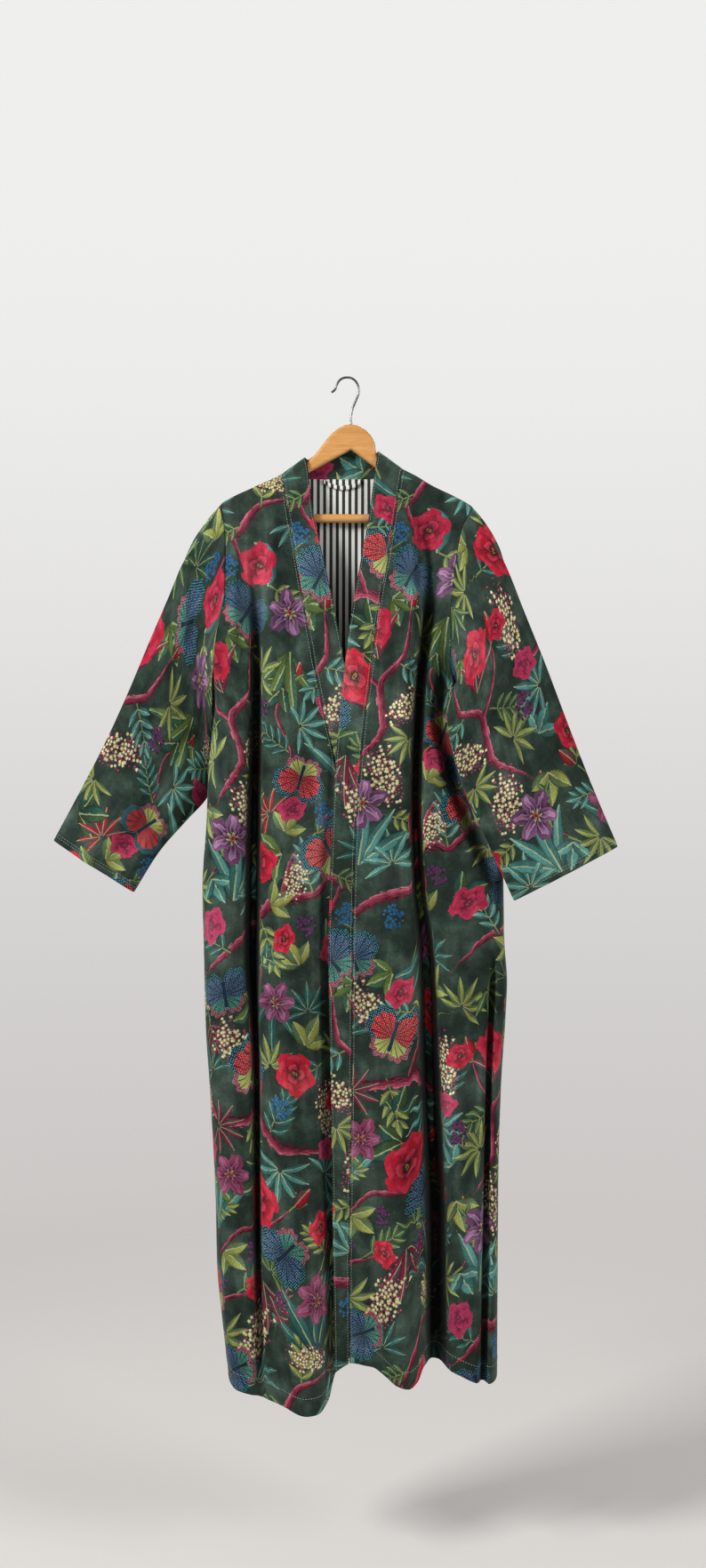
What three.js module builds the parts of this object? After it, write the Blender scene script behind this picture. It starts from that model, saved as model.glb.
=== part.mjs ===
// A long kimono-cut dressing gown of lined velvet, hanging on a wooden hanger with a trouser bar.
// Millimetres, +Z up. The front of the gown faces -Y, and its wearer's left is at +X.
// The origin is the underside of the hook's crown, the point that rests on a nail or a rail.
// Names that say left and right are as seen from the front.
import * as THREE from "three";

// Driving dimensions of the cloth.
const VELVET = 2.0; // velvet and its lining, sewn together
const BAND = 2.4; // the neckband is doubled over
const LINING = 1.0; // striped cotton at the back, where it shows in the neck
const SEAM = 0.4; // space between pieces that are sewn edge to edge
const ROLL = 9.5; // radius of the cloth where it turns over the hanger's arm
const SIDE_ROLL = 18; // radius of the soft fold at each side seam
const SIDE_DEPTH = 4; // where the side seams lie, behind the hanger's middle
const UNDERLAP = 4.6; // how far the left front lies behind the band that laps over it
const CAMBER = 0.03; // the hanger hangs a little askew, and so do its arms and bar
const DATUM = -7; // the cloth's heights below are taken from this level

// Driving dimensions of the hanger.
const WOOD = 11;
const WIRE = 3.4;
const BAR = 10;

// A smooth curve through the rows of a table, with no overshoot: y against x.
function curveThrough(rows, xKey, yKey) {
  const sorted = [...rows].sort((a, b) => a[xKey] - b[xKey]);
  const x = sorted.map((row) => row[xKey]);
  const y = sorted.map((row) => row[yKey]);
  const slope = x.slice(1).map((next, i) => (y[i + 1] - y[i]) / (next - x[i]));
  const tangent = x.map((_, i) => {
    if (i === 0) return slope[0];
    if (i === x.length - 1) return slope[i - 1];
    const [before, after] = [slope[i - 1], slope[i]];
    return before * after <= 0 ? 0 : (2 * before * after) / (before + after);
  });
  return (at) => {
    if (at <= x[0]) return y[0];
    if (at >= x[x.length - 1]) return y[x.length - 1];
    const i = x.findIndex((value) => value > at) - 1;
    const width = x[i + 1] - x[i];
    const t = (at - x[i]) / width;
    const [t2, t3] = [t * t, t * t * t];
    return (
      y[i] * (2 * t3 - 3 * t2 + 1) +
      y[i + 1] * (3 * t2 - 2 * t3) +
      width * (tangent[i] * (t3 - 2 * t2 + t) + tangent[i + 1] * (t3 - t2))
    );
  };
}

const mix = (a, b, t) => a + (b - a) * t;
const clamp01 = (t) => Math.min(1, Math.max(0, t));
const smooth = (from, to, at) => {
  const t = clamp01((at - from) / (to - from));
  return t * t * (3 - 2 * t);
};
// A quarter round: 0 at its edge, 1 once it has run a whole radius.
const quarterRound = (distance, radius) => {
  const t = clamp01(distance / radius);
  return Math.sqrt(Math.max(0, 1 - (1 - t) * (1 - t)));
};

// The top line of the cloth: along both shoulders and up round the standing band.
const ridge = [
  { x: -198, z: -190 },
  { x: -185, z: -177 },
  { x: -135, z: -152 },
  { x: -95, z: -133 },
  { x: -62, z: -109 },
  { x: -50, z: -99 },
  { x: -38, z: -93 },
  { x: 0, z: -90 },
  { x: 30, z: -90 },
  { x: 40, z: -95 },
  { x: 46, z: -100 },
  { x: 60, z: -110 },
  { x: 82, z: -126 },
  { x: 103, z: -137 },
  { x: 126, z: -151 },
  { x: 161, z: -168 },
  { x: 186, z: -183 },
  { x: 196, z: -196 },
];
const ridgeAt = curveThrough(ridge, "x", "z");

// Armhole and side edges, from the shoulder tip down to the hem.
const UNDERARM = { left: -473, right: -486 };
const sideEdge = {
  left: [
    { z: -473, x: -195 },
    { z: -520, x: -200 },
    { z: -571, x: -205 },
    { z: -651, x: -208 },
    { z: -745, x: -214 },
    { z: -824, x: -212 },
    { z: -946, x: -209 },
    { z: -1039, x: -203 },
    { z: -1208, x: -194 },
    { z: -1300, x: -192 },
    { z: -1383, x: -184 },
    { z: -1452, x: -176 },
  ],
  right: [
    { z: -486, x: 188 },
    { z: -551, x: 205 },
    { z: -629, x: 221 },
    { z: -707, x: 231 },
    { z: -824, x: 233 },
    { z: -885, x: 237 },
    { z: -932, x: 235 },
    { z: -1039, x: 228 },
    { z: -1176, x: 224 },
    { z: -1455, x: 222 },
  ],
};
const frontArmhole = {
  left: [
    { z: -178, x: -185 },
    { z: -240, x: -178 },
    { z: -317, x: -179 },
    { z: -373, x: -191 },
    { z: -430, x: -196 },
  ],
  right: [
    { z: -183, x: 186 },
    { z: -216, x: 169 },
    { z: -278, x: 158 },
    { z: -343, x: 152 },
    { z: -408, x: 152 },
    { z: -455, x: 163 },
  ],
};
const backArmhole = {
  left: [
    { z: -178, x: -185 },
    { z: -260, x: -190 },
    { z: -360, x: -194 },
  ],
  right: [
    { z: -183, x: 186 },
    { z: -260, x: 191 },
    { z: -360, x: 193 },
    { z: -440, x: 192 },
  ],
};
const outline = {};
for (const hand of ["left", "right"]) {
  outline[hand] = {
    front: curveThrough([...frontArmhole[hand], ...sideEdge[hand]], "z", "x"),
    back: curveThrough([...backArmhole[hand], ...sideEdge[hand]], "z", "x"),
  };
}

// How far the front and the back stand from the hanger's middle, beyond the roll over its arm.
const fullness = [
  { z: -120, front: 0.4, back: 2.6 },
  { z: -250, front: 7, back: 5 },
  { z: -400, front: 17, back: 6 },
  { z: -600, front: 23, back: 9 },
  { z: -900, front: 29, back: 12 },
  { z: -1200, front: 37, back: 16 },
  { z: -1500, front: 44, back: 20 },
];
const frontFullness = curveThrough(fullness, "z", "front");
const backFullness = curveThrough(fullness, "z", "back");

// Folds. Each row is a height on the fold: x of its line, how far it stands out, and its half width.
const frontFolds = {
  leftRoll: [
    { z: -380, x: -172, out: 0, wide: 24 },
    { z: -600, x: -172, out: 11, wide: 24 },
    { z: -900, x: -174, out: 13, wide: 24 },
    { z: -1200, x: -165, out: 9, wide: 22 },
    { z: -1500, x: -152, out: 4, wide: 22 },
  ],
  leftGully: [
    { z: -300, x: -129, out: 0, wide: 9 },
    { z: -400, x: -132, out: -10, wide: 9 },
    { z: -560, x: -134, out: -21, wide: 9 },
    { z: -740, x: -138, out: -26, wide: 10 },
    { z: -900, x: -138, out: -24, wide: 10 },
    { z: -1010, x: -132, out: -20, wide: 8 },
    { z: -1250, x: -130, out: -17, wide: 7 },
    { z: -1380, x: -127, out: -9, wide: 7 },
    { z: -1500, x: -124, out: -2, wide: 9 },
  ],
  leftSwell: [
    { z: -250, x: -85, out: 0, wide: 22 },
    { z: -400, x: -97, out: 8, wide: 22 },
    { z: -600, x: -98, out: 15, wide: 26 },
    { z: -900, x: -92, out: 18, wide: 28 },
    { z: -1200, x: -84, out: 20, wide: 29 },
    { z: -1380, x: -68, out: 27, wide: 30 },
    { z: -1520, x: -54, out: 35, wide: 32 },
  ],
  leftShoulderPleat: [
    { z: -150, x: -108, out: 0, wide: 10 },
    { z: -200, x: -108, out: 5, wide: 10 },
    { z: -300, x: -110, out: 7, wide: 12 },
    { z: -520, x: -113, out: 0, wide: 12 },
  ],
  leftSleeveHeadPleat: [
    { z: -195, x: -168, out: 0, wide: 11 },
    { z: -260, x: -166, out: 6, wide: 11 },
    { z: -330, x: -166, out: 5, wide: 11 },
    { z: -410, x: -170, out: 0, wide: 11 },
  ],
  hemDip: [
    { z: -1250, x: 6, out: 0, wide: 16 },
    { z: -1500, x: 8, out: -15, wide: 18 },
  ],
  rightShoulderPleat: [
    { z: -160, x: 92, out: 0, wide: 10 },
    { z: -230, x: 96, out: 7, wide: 10 },
    { z: -330, x: 101, out: 8, wide: 10 },
    { z: -450, x: 84, out: 7, wide: 11 },
    { z: -650, x: 78, out: 0, wide: 12 },
  ],
  rightGully: [
    { z: -230, x: 132, out: 0, wide: 12 },
    { z: -330, x: 121, out: -9, wide: 12 },
    { z: -460, x: 107, out: -17, wide: 10 },
    { z: -616, x: 101, out: -20, wide: 10 },
    { z: -746, x: 106, out: -22, wide: 10 },
    { z: -850, x: 117, out: -26, wide: 11 },
    { z: -1006, x: 122, out: -28, wide: 12 },
    { z: -1266, x: 131, out: -27, wide: 13 },
    { z: -1500, x: 130, out: -22, wide: 15 },
  ],
  rightSwell: [
    { z: -500, x: 52, out: 0, wide: 26 },
    { z: -800, x: 62, out: 9, wide: 27 },
    { z: -1100, x: 72, out: 13, wide: 26 },
    { z: -1300, x: 80, out: 17, wide: 25 },
    { z: -1500, x: 88, out: 22, wide: 23 },
  ],
  rightRoll: [
    { z: -740, x: 160, out: 0, wide: 22 },
    { z: -860, x: 158, out: 10, wide: 20 },
    { z: -1050, x: 160, out: 14, wide: 20 },
    { z: -1250, x: 166, out: 13, wide: 22 },
    { z: -1500, x: 190, out: 9, wide: 24 },
  ],
};
const backFolds = {
  leftRoll: [
    { z: -300, x: -150, out: 0, wide: 22 },
    { z: -700, x: -146, out: 7, wide: 24 },
    { z: -1500, x: -138, out: 12, wide: 26 },
  ],
  leftGully: [
    { z: -420, x: -96, out: 0, wide: 16 },
    { z: -800, x: -94, out: -7, wide: 16 },
    { z: -1500, x: -88, out: -11, wide: 18 },
  ],
  middleRoll: [
    { z: -260, x: -14, out: 0, wide: 30 },
    { z: -800, x: -20, out: 8, wide: 30 },
    { z: -1500, x: -26, out: 13, wide: 30 },
  ],
  rightGully: [
    { z: -380, x: 70, out: 0, wide: 16 },
    { z: -900, x: 64, out: -8, wide: 18 },
    { z: -1500, x: 58, out: -12, wide: 18 },
  ],
  rightRoll: [
    { z: -420, x: 148, out: 0, wide: 24 },
    { z: -800, x: 146, out: 8, wide: 24 },
    { z: -1500, x: 140, out: 13, wide: 26 },
  ],
};
const foldCurves = (folds) =>
  Object.values(folds).map((rows) => ({
    x: curveThrough(rows, "z", "x"),
    out: curveThrough(rows, "z", "out"),
    wide: curveThrough(rows, "z", "wide"),
  }));
const frontFoldCurves = foldCurves(frontFolds);
const backFoldCurves = foldCurves(backFolds);
function foldsAt(curves, x, z) {
  return curves.reduce((sum, fold) => {
    const across = (x - fold.x(z)) / fold.wide(z);
    return sum + fold.out(z) * Math.exp(-across * across);
  }, 0);
}

// Share of the side roll at a height: none along most of the armhole, all of it below the underarm.
const rolled = (hand, z) => 1 - smooth(UNDERARM[hand], UNDERARM[hand] + 90, z);
// Closes a depth towards the side seam on either side of the body.
function closeToSide(depth, face, x, z) {
  let closed = depth;
  for (const hand of ["left", "right"]) {
    const inside = Math.max(0, hand === "left" ? x - outline.left[face](z) : outline.right[face](z) - x);
    const round = mix(1, quarterRound(inside, SIDE_ROLL), rolled(hand, z));
    closed = SIDE_DEPTH + (closed - SIDE_DEPTH) * round;
  }
  return closed;
}
// Outer face of the fronts and of the back, as y.
function frontDepth(x, z) {
  const below = ridgeAt(x) - z;
  const swell = frontFullness(z) * smooth(0, 60, below) + foldsAt(frontFoldCurves, x, z) * smooth(0, 60, below);
  return closeToSide(-(ROLL * quarterRound(below, ROLL) + swell), "front", x, z);
}
function backDepth(x, z) {
  const below = ridgeAt(x) - z;
  const swell = backFullness(z) * smooth(0, 60, below) + foldsAt(backFoldCurves, x, z) * smooth(0, 60, below);
  return closeToSide(ROLL * quarterRound(below, ROLL) + swell, "back", x, z);
}

// The neckband. Each row crosses the band from its seam to its free edge.
const bandLeft = [
  { seamX: 8, seamZ: -1437, edgeX: 44, edgeZ: -1432 },
  { seamX: 5, seamZ: -1266, edgeX: 41, edgeZ: -1266 },
  { seamX: 3, seamZ: -1040, edgeX: 39, edgeZ: -1040 },
  { seamX: 2, seamZ: -824, edgeX: 38, edgeZ: -824 },
  { seamX: -1, seamZ: -694, edgeX: 35, edgeZ: -694 },
  { seamX: -8, seamZ: -616, edgeX: 30, edgeZ: -612 },
  { seamX: -19, seamZ: -552, edgeX: 21, edgeZ: -542 },
  { seamX: -36, seamZ: -478, edgeX: 6, edgeZ: -462 },
  { seamX: -57, seamZ: -367, edgeX: -15, edgeZ: -352 },
  { seamX: -68, seamZ: -304, edgeX: -27, edgeZ: -292 },
  { seamX: -78, seamZ: -244, edgeX: -40, edgeZ: -236 },
  { seamX: -88, seamZ: -190, edgeX: -50, edgeZ: -190 },
  { seamX: -93, seamZ: -155, edgeX: -55, edgeZ: -145 },
  { seamX: -95, seamZ: -140, edgeX: -58, edgeZ: -122 },
  { seamX: -95, seamZ: -134, edgeX: -61, edgeZ: -112 },
  { seamX: -95, seamZ: -133, edgeX: -62, edgeZ: -109 },
];
const bandRight = [
  { seamX: 4, seamZ: -1436, edgeX: -18, edgeZ: -1446 },
  { seamX: 4, seamZ: -1292, edgeX: -20, edgeZ: -1292 },
  { seamX: 7, seamZ: -1071, edgeX: -23, edgeZ: -1071 },
  { seamX: 9, seamZ: -824, edgeX: -27, edgeZ: -824 },
  { seamX: 12, seamZ: -694, edgeX: -23, edgeZ: -694 },
  { seamX: 15, seamZ: -628, edgeX: -20, edgeZ: -622 },
  { seamX: 19, seamZ: -578, edgeX: -17, edgeZ: -564 },
  { seamX: 26, seamZ: -503, edgeX: -11, edgeZ: -489 },
  { seamX: 34, seamZ: -441, edgeX: -4, edgeZ: -425 },
  { seamX: 43, seamZ: -367, edgeX: 5, edgeZ: -352 },
  { seamX: 52, seamZ: -304, edgeX: 15, edgeZ: -292 },
  { seamX: 61, seamZ: -259, edgeX: 22, edgeZ: -252 },
  { seamX: 69, seamZ: -209, edgeX: 31, edgeZ: -205 },
  { seamX: 76, seamZ: -165, edgeX: 38, edgeZ: -155 },
  { seamX: 81, seamZ: -134, edgeX: 43, edgeZ: -116 },
  { seamX: 82, seamZ: -128, edgeX: 45, edgeZ: -104 },
  { seamX: 82, seamZ: -126, edgeX: 46, edgeZ: -100 },
];
const bandBack = [
  { seamX: -95, seamZ: -133, edgeX: -62, edgeZ: -109 },
  { seamX: -94, seamZ: -134, edgeX: -61, edgeZ: -111 },
  { seamX: -90, seamZ: -136.5, edgeX: -58, edgeZ: -111 },
  { seamX: -80, seamZ: -139, edgeX: -51, edgeZ: -106 },
  { seamX: -64, seamZ: -140, edgeX: -40, edgeZ: -100 },
  { seamX: -40, seamZ: -140, edgeX: -24, edgeZ: -96 },
  { seamX: -5, seamZ: -140, edgeX: 0, edgeZ: -94.5 },
  { seamX: 30, seamZ: -140, edgeX: 22, edgeZ: -94.5 },
  { seamX: 52, seamZ: -139, edgeX: 34, edgeZ: -97 },
  { seamX: 68, seamZ: -137, edgeX: 41, edgeZ: -100 },
  { seamX: 78, seamZ: -131.5, edgeX: 44, edgeZ: -102 },
  { seamX: 81, seamZ: -127.5, edgeX: 45, edgeZ: -102 },
  { seamX: 82, seamZ: -126, edgeX: 46, edgeZ: -100 },
];
const seamLineLeft = curveThrough(bandLeft, "seamZ", "seamX");
const seamLineRight = curveThrough(bandRight, "seamZ", "seamX");
const lapEdge = curveThrough(bandRight, "edgeZ", "edgeX");
const backNeckline = curveThrough(bandBack.slice(1, -1), "seamX", "seamZ");

// The left front and its band pass behind the right band, and sink into a gully beside its edge.
const gullyByLap = curveThrough(
  [
    { z: -1500, deep: 26 },
    { z: -1340, deep: 15 },
    { z: -1000, deep: 9 },
    { z: -700, deep: 5 },
    { z: -500, deep: 0 },
  ],
  "z",
  "deep",
);
function underlapDepth(x, z) {
  const under = smooth(lapEdge(z) - 24, lapEdge(z) - 2, x);
  return frontDepth(x, z) + (UNDERLAP + gullyByLap(z)) * under;
}

// Hems.
const hemFront = {
  left: [
    { x: -176, z: -1452 },
    { x: -172, z: -1463 },
    { x: -129, z: -1480 },
    { x: -92, z: -1491 },
    { x: -61, z: -1497 },
    { x: -38, z: -1497 },
    { x: -26, z: -1490 },
    { x: -18, z: -1460 },
    { x: -8, z: -1441 },
    { x: 8, z: -1437 },
  ],
  right: [
    { x: 4, z: -1436 },
    { x: 36, z: -1438 },
    { x: 55, z: -1450 },
    { x: 72, z: -1461 },
    { x: 90, z: -1463 },
    { x: 102, z: -1456 },
    { x: 113, z: -1438 },
    { x: 147, z: -1444 },
    { x: 193, z: -1459 },
    { x: 222, z: -1462 },
  ],
};
const hemBack = [
  { x: -176, z: -1450 },
  { x: -130, z: -1440 },
  { x: 60, z: -1436 },
  { x: 222, z: -1458 },
];

// The other face of a wall, a distance inside its outer face. grid[row][column] is the outer face, and
// outward is 1 where the step to the next column, crossed with the step to the next row, points out.
function innerFace(grid, distance, outward, { ring = false, edgeNormal = null } = {}) {
  const columns = grid[0].length;
  const wrap = (c) => (ring ? (c + columns) % columns : Math.min(columns - 1, Math.max(0, c)));
  return grid.map((line, r) =>
    line.map((point, c) => {
      const across = line[wrap(c + 1)].clone().sub(line[wrap(c - 1)]);
      const down = grid[Math.min(grid.length - 1, r + 1)][c].clone().sub(grid[Math.max(0, r - 1)][c]);
      const normal = across.cross(down).multiplyScalar(outward).normalize();
      if (edgeNormal) edgeNormal(normal, point, r, c);
      return point.clone().addScaledVector(normal.normalize(), -distance);
    }),
  );
}
// A closed wall of cloth, from its outer face.
function wallGeometry(grid, thickness, outward, options = {}) {
  const rows = grid.length;
  const columns = grid[0].length;
  const points = [...grid.flat(), ...innerFace(grid, thickness, outward, options).flat()];
  const at = (layer, r, c) => layer * rows * columns + r * columns + (c % columns);
  const faces = [];
  const quad = (a, b, c, d) => faces.push(a, b, c, a, c, d);
  const last = options.ring ? columns : columns - 1;
  for (let r = 0; r < rows - 1; r++) {
    for (let c = 0; c < last; c++) {
      quad(at(0, r, c), at(0, r, c + 1), at(0, r + 1, c + 1), at(0, r + 1, c));
      quad(at(1, r, c), at(1, r + 1, c), at(1, r + 1, c + 1), at(1, r, c + 1));
    }
    if (!options.ring) {
      quad(at(0, r, 0), at(0, r + 1, 0), at(1, r + 1, 0), at(1, r, 0));
      quad(at(0, r, last), at(1, r, last), at(1, r + 1, last), at(0, r + 1, last));
    }
  }
  for (let c = 0; c < last; c++) {
    quad(at(0, 0, c), at(1, 0, c), at(1, 0, c + 1), at(0, 0, c + 1));
    quad(at(0, rows - 1, c), at(0, rows - 1, c + 1), at(1, rows - 1, c + 1), at(1, rows - 1, c));
  }
  if (outward < 0) {
    for (let i = 0; i < faces.length; i += 3) [faces[i + 1], faces[i + 2]] = [faces[i + 2], faces[i + 1]];
  }
  return new THREE.BufferGeometry().setFromPoints(points).setIndex(faces);
}

// Where columns and rows of a panel lie, as shares of its width, of its armhole and of its side seam.
// They crowd at the side roll, in the deep gullies and over the shoulder.
const sideColumns = [0, 0.006, 0.024, 0.055, 0.095];
const frontColumns = {
  left: [...sideColumns, 0.14, 0.19, 0.235, 0.27, 0.295, 0.32, 0.345, 0.37, 0.395, 0.425, 0.46, 0.51, 0.57, 0.63, 0.69, 0.75, 0.8, 0.83, 0.86, 0.89, 0.93, 1],
  right: [...sideColumns, 0.15, 0.21, 0.27, 0.33, 0.37, 0.4, 0.43, 0.46, 0.49, 0.52, 0.55, 0.58, 0.61, 0.65, 0.7, 0.76, 0.82, 0.88, 0.94, 1],
};
const neckColumns = bandBack.slice(1, -1).map((row) => (row.seamX + 185) / 371);
const backSideColumns = [...sideColumns, 0.15, 0.2];
const backColumns = [...backSideColumns, ...neckColumns, 0.44, 0.53, ...backSideColumns.map((u) => 1 - u)].sort((a, b) => a - b);
const armholeRows = [0, 0.0034, 0.013, 0.03, 0.068, 0.14, 0.23, 0.34, 0.46, 0.58, 0.7, 0.81, 0.9, 0.965, 1];
const sideRows = [0.06, 0.13, 0.21, 0.3, 0.4, 0.5, 0.6, 0.7, 0.8, 0.88, 0.95, 1];
// Heights down one column of a panel, from its top edge past the underarm to its hem.
const heights = (top, underarm, bottom) => [...armholeRows.map((v) => mix(top, underarm, v)), ...sideRows.map((v) => mix(underarm, bottom, v))];

// Where the cloth turns edge-on at a shoulder or side seam, its end face stays square to the seam.
function squareToSeam(normal, point, nearSideSeam) {
  const overShoulder = ridgeAt(point.x) - point.z < 0.6;
  if (overShoulder || nearSideSeam) normal.y = 0;
}

// Turns columns of points into rows of points.
const transpose = (columns) => columns[0].map((_, r) => columns.map((column) => column[r]));

function frontPanel(hand) {
  const left = hand === "left";
  const depth = left ? underlapDepth : frontDepth;
  const seam = left ? seamLineLeft : seamLineRight;
  const hem = curveThrough(hemFront[hand], "x", "z");
  const [tipX, neckX] = left ? [-185, -95] : [186, 82];
  const [hemOuterX, hemInnerX] = left ? [-176, 8] : [222, 4];
  const inward = left ? 1 : -1;
  const across = (z, u) => mix(outline[hand].front(z), seam(z) - (inward * SEAM) / 2, u);
  const columns = frontColumns[hand].map((u) => {
    const topX = mix(tipX, neckX - (inward * SEAM) / 2, u);
    const top = ridgeAt(topX);
    return heights(top, UNDERARM[hand], hem(mix(hemOuterX, hemInnerX, u))).map((z) => {
      const settle = (topX - across(top, u)) * (1 - smooth(0, 80, top - z));
      const x = across(z, u) + settle;
      return new THREE.Vector3(x, depth(x, z) - SEAM / 2, z);
    });
  });
  const edgeNormal = (normal, point, r, c) => squareToSeam(normal, point, c === 0 && rolled(hand, point.z) > 0.99);
  return wallGeometry(transpose(columns), VELVET, left ? -1 : 1, { edgeNormal });
}

const backTop = (x) => (x < -94 || x > 81 ? ridgeAt(x) : Math.min(ridgeAt(x), backNeckline(x)));
const backHem = curveThrough(hemBack, "x", "z");
const backAcross = (z, u) => mix(outline.left.back(z), outline.right.back(z), u);
const backGrid = transpose(
  backColumns.map((u) => {
    const underarm = mix(UNDERARM.left, UNDERARM.right, u);
    return heights(backTop(mix(-185, 186, u)), underarm, backHem(mix(-176, 222, u))).map((z) => {
      const x = backAcross(z, u);
      return new THREE.Vector3(x, backDepth(x, z) + SEAM / 2, z);
    });
  }),
);
function backPanel() {
  const last = backColumns.length - 1;
  const edgeNormal = (normal, point, r, c) =>
    squareToSeam(normal, point, (c === 0 && rolled("left", point.z) > 0.99) || (c === last && rolled("right", point.z) > 0.99));
  return wallGeometry(backGrid, VELVET, 1, { edgeNormal });
}

// The back lining: a thin wall inside the back, from the neck seam to a hand above the hem.
// Its points are the back's, moved inwards, so the two walls bend together.
const LINING_SPACE = 0.9;
const LINING_SKIPS = [0, 1, 2, 3, 5, 7, 9, 11, 13]; // rows of the back that it has no need of
const LINING_ENDS = 0.4; // share of the last row of the back that it reaches
const insideBack = (x, z, distance) => new THREE.Vector3(x, backDepth(x, z) + SEAM / 2 - distance, z);
function backLining() {
  const face = innerFace(backGrid, VELVET + LINING_SPACE, 1);
  const top = backColumns.map((u) => {
    const topX = mix(-185, 186, u);
    return insideBack(topX, Math.min(backTop(topX) - 2, ridgeAt(topX) - 17), VELVET + LINING_SPACE);
  });
  const lastRow = face.length - 1;
  const bottom = face[lastRow - 1].map((point, c) => point.clone().lerp(face[lastRow][c], LINING_ENDS));
  const kept = [top, ...face.slice(0, lastRow).filter((_, r) => !LINING_SKIPS.includes(r)), bottom];
  return wallGeometry(kept.map((row) => row.filter((_, c) => backColumns[c] > 0.14 && backColumns[c] < 0.86)), LINING, 1);
}

// A stretch of the neckband, between its seam and its free edge.
const bandColumns = [0, 0.25, 0.5, 0.75, 1];
function bandPiece(table, depth, outward, gap) {
  const grid = table.map((row) => {
    const width = Math.hypot(row.edgeX - row.seamX, row.edgeZ - row.seamZ);
    return bandColumns.map((u) => {
      const share = mix(gap / width, 1, u);
      const x = mix(row.seamX, row.edgeX, share);
      const z = mix(row.seamZ, row.edgeZ, share);
      return new THREE.Vector3(x, depth(x, z), z);
    });
  });
  const edgeNormal = (normal, point) => squareToSeam(normal, point, false);
  return wallGeometry(grid, BAND, outward, { edgeNormal });
}

// Sleeves. Each row is a ring, from its outer end to its inner end, which swing out towards the cuff.
// outY and inY are the ring's middle depth at those ends, and half is half of its thickness.
const sleeveRings = {
  left: [
    { outX: -243, outZ: -267, inX: -201, inZ: -528, outY: -1, inY: 24, half: 18 },
    { outX: -263, outZ: -315, inX: -200, inZ: -553, outY: -2, inY: 27, half: 18 },
    { outX: -292, outZ: -383, inX: -201, inZ: -582, outY: -4, inY: 28, half: 18 },
    { outX: -323, outZ: -458, inX: -210, inZ: -612, outY: -6, inY: 24, half: 18 },
    { outX: -357, outZ: -533, inX: -240, inZ: -649, outY: -8, inY: 12, half: 18 },
    { outX: -393, outZ: -603, inX: -277, inZ: -692, outY: -9, inY: 4, half: 17 },
    { outX: -432, outZ: -676, inX: -315, inZ: -753, outY: -10, inY: 0, half: 16 },
  ],
  right: [
    { outX: 233, outZ: -267, inX: 144, inZ: -480, outY: -6, inY: -54, half: 19 },
    { outX: 260, outZ: -336, inX: 146, inZ: -510, outY: -12, inY: -57, half: 18 },
    { outX: 291, outZ: -416, inX: 154, inZ: -551, outY: -20, inY: -60, half: 18 },
    { outX: 319, outZ: -493, inX: 173, inZ: -609, outY: -27, inY: -60, half: 18 },
    { outX: 356, outZ: -590, inX: 203, inZ: -677, outY: -32, inY: -57, half: 17 },
    { outX: 395, outZ: -684, inX: 242, inZ: -762, outY: -36, inY: -52, half: 16 },
  ],
};
// Rings between the armhole and the first row above. share is how far each has come, and its
// inner end passes round the side of the body: the right sleeve in front, the left one behind.
const sleeveRoots = {
  left: [
    { share: 0.3, inX: -199, inY: 11, inZ: -480 },
    { share: 0.65, inX: -201, inY: 20, inZ: -500 },
  ],
  right: [
    { share: 0.16, inX: 192, inY: -9, inZ: -489 },
    { share: 0.32, inX: 187, inY: -28, inZ: -490 },
    { share: 0.5, inX: 174, inY: -40, inZ: -489 },
    { share: 0.75, inX: 157, inY: -48, inZ: -484 },
  ],
};
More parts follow.
